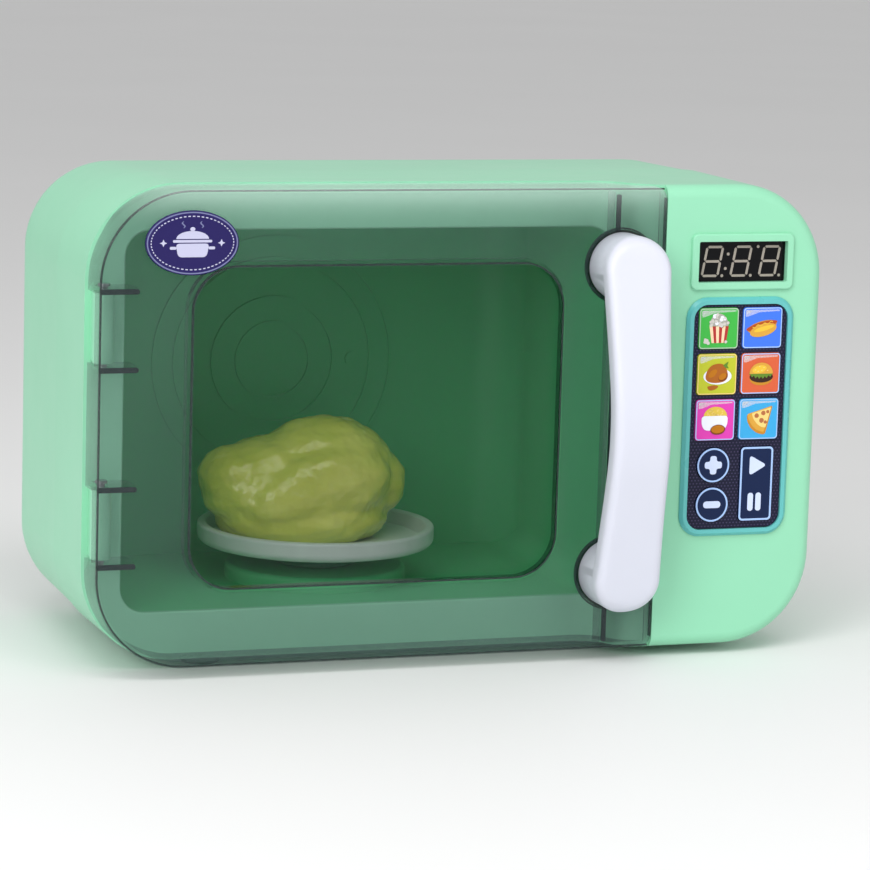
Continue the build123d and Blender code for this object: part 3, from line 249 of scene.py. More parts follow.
def dotted_overlay():
    """Navy film with staggered rows of fine dots."""
    nodes = Nodes("overlay_navy")
    split = nodes.add("ShaderNodeSeparateXYZ")
    nodes.join(nodes.coords, split.inputs[0])
    pitch = DOT_PITCH * MM
    row = nodes.math("DIVIDE", split.outputs["Z"], pitch * 0.866)
    odd = nodes.math("MULTIPLY", nodes.math("MODULO", nodes.math("FLOOR", row), 2.0), 0.5)
    column = nodes.math("ADD", nodes.math("DIVIDE", split.outputs["X"], pitch), odd)
    across = nodes.math("SUBTRACT", nodes.math("FRACT", column), 0.5)
    up = nodes.math("SUBTRACT", nodes.math("FRACT", row), 0.5)
    square = nodes.math("ADD", nodes.math("MULTIPLY", across, across), nodes.math("MULTIPLY", up, up))
    dot = nodes.math("LESS_THAN", square, 0.055)
    ink = nodes.blend(nodes.noise(80.0), linear(66, 50, 78), linear(62, 66, 100))
    nodes.join(nodes.blend(dot, linear(22, 24, 48), ink), nodes.shader.inputs["Base Color"])
    nodes.shader.inputs["Roughness"].default_value = 0.3
    nodes.shader.inputs["Specular IOR Level"].default_value = 0.2
    nodes.bump(dot, 0.00001)
    return nodes.material


def chicken_skin():
    """Soft plastic food: mottled golden green with pores and broad wrinkles that catch the light."""
    nodes = Nodes("chicken_skin")
    patches = nodes.noise(26.0, 4.0)
    color = nodes.blend(nodes.spread(patches, -0.4, 1.5), linear(196, 210, 62), linear(242, 248, 126))
    nodes.join(color, nodes.shader.inputs["Base Color"])
    nodes.join(nodes.spread(nodes.noise(70.0, 3.0), 0.12, 0.36), nodes.shader.inputs["Roughness"])
    nodes.shader.inputs["Subsurface Weight"].default_value = 0.12
    nodes.shader.inputs["Subsurface Radius"].default_value = (0.004, 0.003, 0.001)
    nodes.shader.inputs["Coat Weight"].default_value = 0.55
    wrinkles = nodes.noise(95.0, 5.0, (1.0, 1.0, 2.0))
    pores = nodes.noise(420.0, 2.0)
    nodes.bump(nodes.math("ADD", wrinkles, nodes.math("MULTIPLY", pores, 0.25)), 0.0007, 0.8)
    return nodes.material


def frosted(name, color):
    """Milky clear plastic with faint radial streaks from the mould."""
    nodes = Nodes(name)
    streaks = nodes.noise(160.0, 3.0, (1.0, 1.0, 0.2))
    nodes.join(nodes.blend(streaks, shade(color, 0.9), shade(color, 1.08)), nodes.shader.inputs["Base Color"])
    nodes.shader.inputs["Subsurface Weight"].default_value = 0.2
    nodes.shader.inputs["Subsurface Radius"].default_value = (0.003, 0.003, 0.003)
    nodes.join(nodes.spread(streaks, 0.22, 0.45), nodes.shader.inputs["Roughness"])
    nodes.bump(streaks, 0.0002, 0.5)
    return nodes.material


MINT = linear(146, 214, 178)
FINISH = {
    "mint": plastic("mint_plastic", MINT, 0.3, mirror=0.35),
    "mint_liner": plastic("liner_plastic", linear(100, 207, 143), 0.36, mirror=0.3),
    # the smoke's pale top colour is painted light from above
    "smoke": smoky("smoky_clear", linear(68, 86, 86), 0.25, painted_top_light=linear(225, 240, 236)),
    "white": plastic("white_plastic", linear(212, 214, 226), 0.36, 0.015, 1200.0, 0.00001,
                     mirror=0.35, glow=0.2),
    "badge": printed("badge_navy", linear(35, 28, 86)),
    "teal": plastic("teal_plastic", linear(94, 184, 182), 0.28),
    "navy": dotted_overlay(),
    "key_green": printed("ink_green", linear(66, 178, 72)),
    "key_blue": printed("ink_blue", linear(66, 118, 232)),
    "key_yellow": printed("ink_yellow", linear(188, 194, 50)),
    "key_orange": printed("ink_orange", linear(212, 96, 60)),
    "key_magenta": printed("ink_magenta", linear(222, 66, 178)),
    "key_cyan": printed("ink_cyan", linear(60, 166, 222)),
    "key_navy": printed("ink_key_navy", linear(9, 30, 70)),
    "black_plastic": plastic("black_plastic", linear(28, 28, 30), 0.45),
    "board_green": plastic("board_green", linear(24, 92, 52), 0.35, 0.12),
    "screw_steel": metal("screw_steel", linear(190, 190, 194)),
    "display_black": plastic("display_black", linear(8, 8, 11), 0.12, 0.02, 400.0, 0.000005, 0.0, 0.15),
    "segment_grey": plastic("segment_grey", linear(156, 148, 138), 0.4, 0.03, mirror=0.2),
    "frosted": frosted("frosted_clear", linear(214, 232, 222)),
    "nylon": plastic("nylon", linear(228, 224, 208), 0.42),
    "axle_steel": metal("axle_steel", linear(200, 200, 204), 0.22),
    "motor_can": metal("motor_can", linear(186, 186, 182), 0.34),
    "chicken": chicken_skin(),
    "cell_wrap": plastic("cell_wrap", linear(60, 66, 82), 0.25, 0.03, 600.0, 0.00001, 0.4),
    "contact_brass": metal("contact_brass", linear(214, 186, 110)),
    "speaker_black": plastic("speaker_black", linear(34, 34, 36), 0.7, 0.2),
    "clear_lens": smoky("clear_lens", linear(225, 230, 228), 0.45, 0.12),
    "rubber": plastic("rubber", linear(40, 40, 42), 0.75, 0.1, 500.0, 0.00005),
}
WINDOW_SMOKE = smoky("smoky_window", linear(8, 18, 24), 0.27)
# painted shade: the hub gets a darker copy of the liner's green so it sinks into the shade under the plate
HUB_SHADE_GREEN = plastic("hub_shaded_green", linear(70, 160, 108), 0.45)
CLEAR_SMOKE = smoky("smoky_faint", linear(60, 90, 80), 0.03, 0.3, 0.0)
RIB_SMOKE = smoky("smoky_rib", linear(20, 30, 30), 0.14)
STEP_SMOKE = smoky("smoky_step", linear(12, 26, 24), 0.75)
EDGE_SMOKE = smoky("smoky_line", linear(10, 20, 20), 0.68)
DENSE_SMOKE = smoky("smoky_edge", linear(8, 16, 22), 0.92, 0.15)
INK_WHITE = printed("ink_white", linear(236, 238, 250))
INK_BADGE = printed("ink_badge", linear(186, 186, 212))
INK_RIM = printed("ink_rim", linear(112, 116, 156))
INK_PALE = printed("ink_pale", linear(176, 200, 176))
INK_PALE_BLUE = printed("ink_pale_blue", linear(168, 198, 246))
INK_SYMBOL = printed("ink_symbol", linear(206, 218, 250))
INK_RED = printed("ink_red", linear(176, 52, 50))
INK_CREAM = printed("ink_cream", linear(244, 214, 176))
INK_CORN = printed("ink_corn", linear(206, 202, 196))
INK_CORN_DARK = printed("ink_corn_dark", linear(168, 168, 158))
INK_BUN = printed("ink_bun", linear(214, 160, 62))
INK_BUN_DARK = printed("ink_bun_dark", linear(196, 134, 40))
INK_SAUSAGE = printed("ink_sausage", linear(176, 74, 30))
INK_MUSTARD = printed("ink_mustard", linear(232, 190, 60))
INK_ROAST = printed("ink_roast", linear(172, 98, 32))
INK_ROAST_DARK = printed("ink_roast_dark", linear(122, 62, 24))
INK_LEAF = printed("ink_leaf", linear(96, 134, 44))
INK_PATTY = printed("ink_patty", linear(56, 34, 24))
INK_GRAVY = printed("ink_gravy", linear(188, 116, 18))
INK_CHEESE = printed("ink_cheese", linear(240, 208, 126))
INK_RICE = printed("ink_rice", linear(224, 192, 76))
INK_SHEEN = smoky("ink_sheen", linear(250, 250, 255), 0.24, 0.3)
INK_SLICE = printed("ink_slice", linear(178, 108, 66))


# ---------------------------------------------------------------- mesh helpers
def finish_mesh(mesh, materials, sharp=35.0):
    for material in materials:
        mesh.materials.append(material)
    mesh.polygons.foreach_set("use_smooth", [True] * len(mesh.polygons))
    mesh.set_sharp_from_angle(angle=radians(sharp))
    mesh.update()


def add_object(name, mesh, body, replaced=()):
    obj = bpy.data.objects.new(name, mesh)
    bpy.context.scene.collection.objects.link(obj)
    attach(obj, body)
    if replaced:
        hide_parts(*replaced)
    return obj


class Relief:
    """Thin closed slabs drawn in x and z, in millimetres about a centre, on a face that looks to -Y or +Y."""

    def __init__(self, center_x, center_z, face_y, outward=-1.0):
        self.center = (center_x, center_z)
        self.face_y = face_y
        self.outward = outward
        self.mesh = bmesh.new()
        self.materials = []

    def material_index(self, material):
        if material not in self.materials:
            self.materials.append(material)
        return self.materials.index(material)

    def slab(self, loops, material, layer, thickness=PRINT_LAYER):
        """Adds an outline with holes, each a list of (x, z), as a slab that stands on a layer."""
        index = self.material_index(material)
        low = PRINT_GAP + layer * PRINT_LAYER
        high = low + thickness
        center_x, center_z = self.center
        rings = []
        for height in (low, high):
            y = self.face_y + self.outward * height * MM
            rings.append([[self.mesh.verts.new((center_x + x * MM, y, center_z + z * MM)) for x, z in loop]
                          for loop in loops])
        flat = [[Vector((x, z, 0.0)) for x, z in loop] for loop in loops]
        for ring in rings:
            points = [vertex for loop in ring for vertex in loop]
            for a, b, c in geometry.tessellate_polygon(flat):
                self.mesh.faces.new((points[a], points[b], points[c])).material_index = index
        for near, far in zip(*rings):
            for step, vertex in enumerate(near):
                after = (step + 1) % len(near)
                face = self.mesh.faces.new((vertex, near[after], far[after], far[step]))
                face.material_index = index

    def build(self, name, body):
        bmesh.ops.recalc_face_normals(self.mesh, faces=self.mesh.faces)
        mesh = bpy.data.meshes.new(name)
        self.mesh.to_mesh(mesh)
        self.mesh.free()
        finish_mesh(mesh, self.materials, 25.0)
        return add_object(name, mesh, body)


def ellipse(x, z, radius_x, radius_z, count=40, turn=0.0, start=0.0, end=360.0):
    """Points of an ellipse or a stretch of it, turned by an angle in degrees."""
    whole = end - start >= 360.0
    steps = count if whole else count + 1
    points = []
    for step in range(steps):
        angle = radians(start + (end - start) * step / count)
        across, up = radius_x * cos(angle), radius_z * sin(angle)
        tilt = radians(turn)
        points.append((x + across * cos(tilt) - up * sin(tilt), z + across * sin(tilt) + up * cos(tilt)))
    return points


def rounded_rectangle(width, height, radius, x=0.0, z=0.0, count=8, turn=0.0):
    points = []
    corners = ((1, 1, 0), (-1, 1, 90), (-1, -1, 180), (1, -1, 270))
    for side_x, side_z, start in corners:
        middle_x, middle_z = side_x * (width / 2 - radius), side_z * (height / 2 - radius)
        for step in range(count + 1):
            angle = radians(start + 90 * step / count)
            points.append((middle_x + radius * cos(angle), middle_z + radius * sin(angle)))
    tilt = radians(turn)
    return [(x + a * cos(tilt) - b * sin(tilt), z + a * sin(tilt) + b * cos(tilt)) for a, b in points]


def rounded_polygon(corners, radius, count=6):
    """A polygon whose corners are cut by short curves."""
    points = []
    for index, corner in enumerate(corners):
        here = Vector(corner)
        ends = []
        for other in (corners[index - 1], corners[(index + 1) % len(corners)]):
            toward = Vector(other) - here
            ends.append(here + toward * min(0.45, radius / toward.length))
        for step in range(count + 1):
            share = step / count
            point = ends[0].lerp(here, share).lerp(here.lerp(ends[1], share), share)
            points.append(tuple(point))
    return points


def blob(x, z, radius, seed, rough=0.16, count=26):
    """A round shape with a bumpy outline."""
    draw = random.Random(seed)
    waves = [(draw.uniform(0, 2 * pi), draw.choice((3, 4, 5, 6))) for _ in range(3)]
    points = []
    for step in range(count):
        angle = 2 * pi * step / count
        size = radius * (1 + rough * sum(sin(n * angle + phase) for phase, n in waves) / 3)
        points.append((x + size * cos(angle), z + size * sin(angle)))
    return points


# ---------------------------------------------------------------- door
def copy_node(node):
    """A new mesh with a CAD node's faces and shading."""
    mesh = frame["nodes"][node].data.copy()
    mesh.materials.clear()
    return mesh


def dress_door():
    """The door's clear moulding: a clearer window, dark steps and ribs, and walls that can hardly be seen."""
    mesh = copy_node("door_shell")
    mesh.name = "door_glass"
    for finish in (FINISH["smoke"], WINDOW_SMOKE, STEP_SMOKE, DENSE_SMOKE, RIB_SMOKE, CLEAR_SMOKE):
        mesh.materials.append(finish)
    ribs = hinge_rib_heights()
    boss_x = (HANDLE_LOW.x + HANDLE_HIGH.x) / 2
    boss_heights = (HANDLE_LOW.z + BOSS_RADIUS * MM, HANDLE_HIGH.z - BOSS_RADIUS * MM)
    for face in mesh.polygons:
        place = face.center
        depth = (place.y - DOOR_LOW.y) / MM
        reach = min(hypot(place.x - boss_x, place.z - height) for height in boss_heights)
        in_pocket = reach < (BOSS_RADIUS + BOSS_LINE_GAP) * MM and FACE_SKIN < depth < POCKET_REACH
        on_rib = place.x < DOOR_LOW.x + (HINGE_RIB_REACH + RIB_SLACK) * MM and depth > RIB_START
        on_rib = on_rib and min(abs(place.z - height) for height in ribs) < RIB_SKIN * MM
        # faces of the pocket round each handle boss take the dense smoke as painted shade in the groove
        if place.x > DOOR_HIGH.x - END_SKIN * MM or in_pocket:
            face.material_index = 3
        elif on_rib:
            face.material_index = 4
        else:
            face.material_index = window_zone(place, face.normal, depth)
    return add_object("door_glass", mesh, "door", ["door_shell"])


def window_zone(place, normal, depth):
    """Which finish a face of the door takes from its place at the window: 2 for the step seen from the front
    left, 5 for the recess's other walls, 1 for the pane and 0 elsewhere."""
    across = max(abs(place.x / MM - (WINDOW_LEFT + WINDOW_RIGHT) / 2) - (WINDOW_RIGHT - WINDOW_LEFT) / 2,
                 abs(place.z / MM - (WINDOW_LOW + WINDOW_TOP) / 2) - (WINDOW_TOP - WINDOW_LOW) / 2)
    is_wall = abs(normal.y) < 0.5 and FACE_SKIN < depth
    if is_wall and across < STEP_SKIN and depth < WINDOW_RECESS + 2.3 and (normal.x < -0.2 or normal.z > 0.2):
        return 2
    if is_wall and -0.5 < across < DOOR_WALL + STEP_SKIN and depth < WINDOW_RECESS + 2.5:
        return 5
    if across < DOOR_WALL and WINDOW_RECESS - 1 < depth < WINDOW_RECESS + 3:
        return 1
    return 0


def dress_dark_lines():
    """The long way through ribs and edges swallows the light, which shows as black lines in the door. The
    rings round the handle's bosses are painted shade in the groove each boss stands in.
    """
    center_x, center_z = (DOOR_LOW.x + DOOR_HIGH.x) / 2, (DOOR_LOW.z + DOOR_HIGH.z) / 2
    art = Relief(center_x, center_z, DOOR_LOW.y + LINE_START * MM, 1.0)
    half_x, half_z = (DOOR_HIGH.x - DOOR_LOW.x) / 2 / MM, (DOOR_HIGH.z - DOOR_LOW.z) / 2 / MM
    handle_x = ((HANDLE_LOW.x + HANDLE_HIGH.x) / 2 - center_x) / MM
    handle_z = ((HANDLE_LOW.z + HANDLE_HIGH.z) / 2 - center_z) / MM
    spread = (HANDLE_HIGH.z - HANDLE_LOW.z) / 2 / MM - BOSS_RADIUS
    for height in hinge_rib_heights():
        root = rounded_rectangle(HINGE_RIB_REACH + 1, 2.1, 0.9, 1 + HINGE_RIB_REACH / 2 - half_x,
                                 (height - center_z) / MM)
        art.slab([root], DENSE_SMOKE, 0, LINE_DEPTH)
    lowest, highest = handle_z - spread, handle_z + spread
    stretches = ((LONG_RIB_END - half_z, lowest - BOSS_RADIUS), (lowest + BOSS_RADIUS, highest - BOSS_RADIUS),
                 (highest + BOSS_RADIUS, half_z - LONG_RIB_END))
    for low, high in stretches:
        root = rounded_rectangle(1.8, high - low, 0.5, half_x - LONG_RIB_INSET, (low + high) / 2)
        art.slab([root], DENSE_SMOKE, 0, LINE_DEPTH)
    outer = door_path(half_x, half_z, EDGE_LINE_INSET)
    inner = door_path(half_x, half_z, EDGE_LINE_INSET + EDGE_LINE_WIDTH)
    art.slab([outer + inner[::-1]], EDGE_SMOKE, 0, LINE_DEPTH)
    middle = ((WINDOW_LEFT + WINDOW_RIGHT) / 2 - center_x / MM, (WINDOW_LOW + WINDOW_TOP) / 2 - center_z / MM)
    width, height = WINDOW_RIGHT - WINDOW_LEFT, WINDOW_TOP - WINDOW_LOW
    loops = [rounded_rectangle(width + 2 * grow, height + 2 * grow, WINDOW_RADIUS + grow, *middle, 16)
             for grow in (WINDOW_LINE_GAP + EDGE_LINE_WIDTH, WINDOW_LINE_GAP)]
    art.slab(loops, EDGE_SMOKE, 0, LINE_DEPTH)
    # painted shade: a dark ring in the groove round each handle boss
    for boss_z in (lowest, highest):
        rings = [ellipse(handle_x, boss_z, BOSS_RADIUS + grow, BOSS_RADIUS + grow, 64)
                 for grow in (BOSS_LINE_GAP + EDGE_LINE_WIDTH, BOSS_LINE_GAP)]
        art.slab(rings, EDGE_SMOKE, 0, LINE_DEPTH)
    art.build("rib_roots", "door")


def door_path(half_x, half_z, inset):
    """The door's outline at an inset, from its top right corner round the left to its bottom right."""
    radius = DOOR_CORNER_RADIUS - inset
    middle_x, middle_z = DOOR_CORNER_RADIUS - half_x, half_z - DOOR_CORNER_RADIUS
    points = [(half_x - 1.0, half_z - inset)]
    points += ellipse(middle_x, middle_z, radius, radius, 24, 0, 90, 180)
    points += ellipse(middle_x, -middle_z, radius, radius, 24, 0, 180, 270)
    return points + [(half_x - 1.0, inset - half_z)]


def hinge_rib_heights():
    """Heights of the ribs that hold the pins, from the pins' own ends."""
    low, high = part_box("hinge_pins")
    pitch = 30 * MM
    lowest, highest = low.z + 1.5 * MM, high.z - 2.0 * MM
    return (lowest, lowest + pitch, highest - pitch, highest)


# ---------------------------------------------------------------- handle
def handle_half_width(height, half_end, waist, straight):
    """Half the bar's width at a height from its middle: an arc down to the waist, then round ends."""
    reach = abs(height)
    if reach > straight:
        return sqrt(max(0.0, half_end**2 - (reach - straight) ** 2))
    drop = half_end - waist
    radius = (straight**2 + drop**2) / (2 * drop)
    return waist + radius - sqrt(radius**2 - height**2)


def handle_bar():
    """The bowed bar as two grids, front and back, joined round the edge."""
    center_x = (HANDLE_LOW.x + HANDLE_HIGH.x) / 2
    center_z = (HANDLE_LOW.z + HANDLE_HIGH.z) / 2
    top = (HANDLE_HIGH.z - HANDLE_LOW.z) / 2
    half_end = (HANDLE_HIGH.x - HANDLE_LOW.x) / 2
    straight = top - half_end
    waist = half_end - WAIST_PULL * MM
    edge, back_edge, end_round = HANDLE_EDGE * MM, HANDLE_BACK_EDGE * MM, HANDLE_END_ROUND * MM

    def inside(x, z, half):
        """How far a point lies inside the outline."""
        if abs(z) > straight:
            return max(0.0, half_end - hypot(x, abs(z) - straight))
        return max(0.0, half - abs(x))

    def rounding(distance, radius):
        gap = max(0.0, radius - distance)
        return radius - sqrt(max(0.0, radius**2 - gap**2))

    stations = [-top + half_end * (1 - cos(radians(90 * step / 24))) for step in range(24)]
    stations += [straight * (2 * step / 60 - 1) for step in range(61)]
    stations += [-z for z in stations[:24]][::-1]
    columns = [sin(radians(90 * (2 * step / 24 - 1))) for step in range(25)]
    mesh = bmesh.new()
    grids = []
    for is_front in (True, False):
        grid = []
        for z in stations:
            half = handle_half_width(z, half_end, waist, straight)
            line = []
            for share in columns:
                x = half * share
                depth = inside(x, z, half)
                face_y = bow_face(z)
                if is_front:
                    y = face_y + rounding(depth, edge) + rounding(top - abs(z), end_round) * 0.35
                else:
                    y = face_y + HANDLE_THICKNESS * MM - rounding(depth, back_edge)
                line.append(mesh.verts.new((center_x + x, y, center_z + z)))
            grid.append(line)
        grids.append(grid)
        for row in range(len(grid) - 1):
            for step in range(len(columns) - 1):
                corners = (grid[row][step], grid[row][step + 1], grid[row + 1][step + 1], grid[row + 1][step])
                mesh.faces.new(corners)
    near, far = grids
    last = len(columns) - 1
    for row in range(len(stations) - 1):
        for step in (0, last):
            mesh.faces.new((near[row][step], near[row + 1][step], far[row + 1][step], far[row][step]))
    for row in (0, len(stations) - 1):
        for step in range(last):
            mesh.faces.new((near[row][step], near[row][step + 1], far[row][step + 1], far[row][step]))
    bmesh.ops.remove_doubles(mesh, verts=mesh.verts, dist=0.00001)
    bmesh.ops.dissolve_degenerate(mesh, dist=0.000005, edges=mesh.edges)
    bmesh.ops.recalc_face_normals(mesh, faces=mesh.faces)
    return mesh, center_x, center_z, straight


def bow_face(height):
    """Where the bar's face lies at a height from its middle: two straight slopes and a round between them."""
    lean, radius = radians(HANDLE_SLOPE), HANDLE_BOW_RADIUS * MM
    reach = abs(height)
    if reach < radius * sin(lean):
        return HANDLE_LOW.y + radius - sqrt(radius**2 - reach**2)
    return HANDLE_LOW.y - radius * (1 / cos(lean) - 1) + reach * sin(lean) / cos(lean)


def lathe_y(x, z, profile, count=72):
    """A solid turned about an axis along Y from (radius, y) pairs in metres."""
    mesh = bmesh.new()
    rings = []
    for radius, y in profile:
        rings.append([mesh.verts.new((x + radius * cos(2 * pi * step / count), y,
                                      z + radius * sin(2 * pi * step / count))) for step in range(count)])
    for near, far in zip(rings, rings[1:]):
        for step in range(count):
            after = (step + 1) % count
            mesh.faces.new((near[step], near[after], far[after], far[step]))
    mesh.faces.new(rings[0])
    mesh.faces.new(rings[-1][::-1])
    bmesh.ops.recalc_face_normals(mesh, faces=mesh.faces)
    return mesh


def object_from(mesh, name):
    data = bpy.data.meshes.new(name)
    mesh.to_mesh(data)
    mesh.free()
    obj = bpy.data.objects.new(name, data)
    bpy.context.scene.collection.objects.link(obj)
    return obj


def joined(base, others, operation="UNION"):
    """A mesh of base joined with the other objects by booleans. The objects are removed."""
    for other in others:
        modifier = base.modifiers.new("join", "BOOLEAN")
        modifier.operation = operation
        modifier.solver = "EXACT"
        modifier.object = other
    graph = bpy.context.evaluated_depsgraph_get()
    mesh = bpy.data.meshes.new_from_object(base.evaluated_get(graph))
    for obj in [base, *others]:
        bpy.data.objects.remove(obj)
    return mesh


def dress_handle():
    bar, x, center_z, straight = handle_bar()
    base = object_from(bar, "handle_bar")
    radius = BOSS_RADIUS * MM
    foot = HANDLE_HIGH.y
    bosses = []
    for side in (-1, 1):
        profile = [(radius, bow_face(straight)), (radius, foot - 0.6 * MM), (radius - 0.5 * MM, foot)]
        boss = lathe_y(x, center_z + side * straight, profile)
        for vertex in boss.verts:
            if vertex.co.y < foot - 1.0 * MM:
                vertex.co.y = bow_face(vertex.co.z - center_z) + (HANDLE_THICKNESS - BOSS_SINK) * MM
        bosses.append(object_from(boss, f"boss{side}"))
    mesh = joined(base, bosses)
    mesh.name = "handle_grip"
    finish_mesh(mesh, [FINISH["white"]], 50.0)
    return add_object("handle_grip", mesh, "door", ["door_handle"])


# ---------------------------------------------------------------- badge
def dress_badge():
    """A pale rim, a stitched ring and a plain cooking pot on the oval plate."""
    center = (BADGE_LOW + BADGE_HIGH) / 2
    half_x, half_z = (BADGE_HIGH.x - BADGE_LOW.x) / 2 / MM, (BADGE_HIGH.z - BADGE_LOW.z) / 2 / MM
    art = Relief(center.x, center.z, BADGE_LOW.y)
    art.slab([ellipse(0, 0, half_x - 0.5, half_z - 0.5, 96), ellipse(0, 0, half_x - 1.0, half_z - 1.0, 96)],
             INK_RIM, 0)
    dashes = 58
    for step in range(dashes):
        start = 360.0 * step / dashes
        outer = ellipse(0, 0, half_x - 2.0, half_z - 2.0, 4, 0, start, start + 200.0 / dashes)
        inner = ellipse(0, 0, half_x - 2.4, half_z - 2.4, 4, 0, start, start + 200.0 / dashes)
        art.slab([outer + inner[::-1]], INK_BADGE, 0)
    art.slab([rounded_polygon([(-6.6, -0.2), (6.6, -0.2), (5.6, -5.4), (-5.6, -5.4)], 1.6)], INK_BADGE, 0)
    art.slab([rounded_rectangle(15.4, 1.0, 0.45, 0, 0.7)], INK_BADGE, 0)
    art.slab([ellipse(0, 1.6, 6.4, 3.0, 24, 0, 0, 180)], INK_BADGE, 0)
    art.slab([ellipse(0, 5.3, 1.0, 0.8, 20)], INK_BADGE, 0)
    for side in (-1, 1):
        art.slab([rounded_rectangle(2.6, 1.1, 0.5, side * 7.6, -1.9)], INK_BADGE, 0)
        art.slab([wave(side * 3.6, 7.0, 2.6, 0.35)], INK_RIM, 0)
    for x in (-11.4, 11.4):
        art.slab([rounded_polygon(star(x, 0.0, 1.5, 0.6), 0.25, 2)], INK_BADGE, 0)
    art.build("badge_print", "door")


def wave(x, z, height, half_width):
    """A wisp of steam: a thin band along an S curve."""
    left, right = [], []
    for step in range(13):
        share = step / 12
        middle = x + 0.5 * sin(2 * pi * share)
        thin = half_width * (0.35 + 0.65 * sin(pi * share))
        left.append((middle - thin, z + height * (share - 0.5)))
        right.append((middle + thin, z + height * (share - 0.5)))
    return left + right[::-1]


def star(x, z, outer, inner, points=4):
    return [(x + (outer if step % 2 == 0 else inner) * cos(pi * step / points),
             z + (outer if step % 2 == 0 else inner) * sin(pi * step / points)) for step in range(2 * points)]


# ---------------------------------------------------------------- keys
def key_face(node):
    low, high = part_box(node)
    return (low.x + high.x) / 2, (low.z + high.z) / 2, low.y


def tile_frame(art, border):
    """Pale outline round a picture key and the soft shine printed along its top."""
    art.slab([rounded_rectangle(16.7, 16.2, 1.3), rounded_rectangle(15.9, 15.4, 1.0)], border, 0)
    sheen = [(-7.5, 7.3), (7.3, 7.3), (7.3, 6.7), (-1.8, 6.3), (-5.0, 5.1), (-7.5, 4.4)]
    art.slab([rounded_polygon(sheen, 0.8)], INK_SHEEN, 0)
    art.slab([rounded_polygon([(-7.5, 7.3), (-4.2, 7.3), (-5.4, 6.1), (-7.5, 5.4)], 0.6)], INK_SHEEN, 1)


def draw_popcorn(art):
    tile_frame(art, INK_PALE)
    stripes = 6
    for step in range(stripes):
        top = [-4.2 + 8.4 * (step + end) / stripes for end in (0, 1)]
        foot = [-3.0 + 6.2 * (step + end) / stripes for end in (0, 1)]
        ink = INK_CREAM if step % 2 == 0 else INK_RED
        art.slab([[(top[0], 0.9), (top[1], 0.9), (foot[1], -5.8), (foot[0], -5.8)]], ink, 2)
    draw = random.Random(11)
    heap = [(3.9 * cos(0.2 * step * step + step) * (0.35 + 0.65 * sin(step * 0.9) ** 2),
             0.9 + 5.0 * step / 34) for step in range(34)]
    art.slab([ellipse(-0.1, 1.0, 4.1, 5.0, 36, 0, 0, 180)], INK_CORN_DARK, 1)
    for index, (x, z) in enumerate(heap):
        if (x / 4.1) ** 2 + ((z - 1.0) / 5.2) ** 2 < 1:
            ink = INK_CORN if draw.random() < 0.7 else INK_WHITE
            art.slab([blob(x, z, draw.uniform(0.45, 0.75), index)], ink, 2 + index % 5)
    for index, (x, z, size) in enumerate(((-5.5, -5.0, 1.1), (-4.5, -5.8, 0.7), (3.1, -5.4, 0.6))):
        art.slab([blob(x, z, size, index + 20)], INK_CORN, 3 + index)


def draw_hot_dog(art):
    tile_frame(art, INK_PALE_BLUE)
    tilt = 14.0
    art.slab([ellipse(-0.2, 0.5, 6.5, 2.2, 40, tilt)], INK_BUN_DARK, 1)
    art.slab([ellipse(-0.4, 0.9, 6.9, 1.35, 40, tilt)], INK_SAUSAGE, 2)
    art.slab([ellipse(0.3, -0.9, 5.9, 2.5, 40, tilt)], INK_BUN, 3)
    art.slab([ellipse(0.6, -0.3, 4.4, 0.9, 40, tilt)], INK_MUSTARD, 4)
    stripe = []
    for side in (-1, 1):
        band = [(x, 1.35 + x * 0.25 + 0.4 * sin(2.2 * x) + side * 0.16) for x in
                [-4.4 + 8.8 * step / 40 for step in range(41)]]
        stripe.append(band)
    art.slab([stripe[0] + stripe[1][::-1]], INK_MUSTARD, 5)


def draw_roast(art):
    tile_frame(art, INK_CHEESE)
    art.slab([ellipse(0.2, -0.8, 6.1, 3.3, 44)], INK_WHITE, 1)
    art.slab([rounded_polygon([(-5.2, -1.6), (-4.6, 1.2), (-2.8, 3.6), (0.0, 4.4), (2.4, 4.2), (4.2, 2.0),
                               (4.9, -0.8), (3.6, -2.9), (0.0, -3.6), (-3.6, -3.2)], 1.6)], INK_ROAST, 2)
    art.slab([ellipse(2.6, -1.2, 2.1, 1.5, 30, 30)], INK_ROAST_DARK, 3)
    art.slab([ellipse(2.4, -0.9, 1.8, 1.2, 30, 30)], INK_GRAVY, 4)
    art.slab([ellipse(-1.9, 0.4, 2.2, 1.2, 30, 40)], INK_GRAVY, 3)
    leaf = [(2.4, 3.6), (4.8, 5.2), (4.2, 3.4), (5.0, 2.4), (3.4, 2.6)]
    art.slab([rounded_polygon(leaf, 0.4)], INK_LEAF, 4)
    art.slab([rounded_polygon([(-4.4, -5.0), (-3.0, -6.6), (-0.4, -6.0), (1.0, -4.7), (-1.6, -4.3)], 0.9)],
             INK_ROAST, 3)


def draw_burger(art):
    tile_frame(art, INK_PALE_BLUE)
    art.slab([ellipse(0.2, -2.2, 4.9, 2.6, 40)], INK_BUN_DARK, 1)
    art.slab([ellipse(0.3, -1.4, 5.1, 2.3, 40)], INK_PATTY, 2)
    frill = [(-5.0 + 10.4 * step / 28, -1.7 + 0.45 * sin(step * 1.45) + 0.05 * (step - 14) ** 2 * 0.12)
             for step in range(29)]
    art.slab([frill + [(5.2, 0.6), (-4.9, 0.6)]], INK_LEAF, 3)
    art.slab([ellipse(0.2, -0.1, 5.1, 4.5, 40, 0, 0, 180)], INK_BUN, 4)
    art.slab([ellipse(-0.6, 1.7, 3.1, 1.5, 30, 12)], INK_MUSTARD, 5)
    for x, z in ((-2.4, 1.5), (-0.6, 2.9), (1.3, 2.4), (0.4, 1.3), (2.9, 1.2), (-1.2, 0.9)):
        art.slab([ellipse(x, z, 0.34, 0.2, 12, 30)], INK_CHEESE, 6)


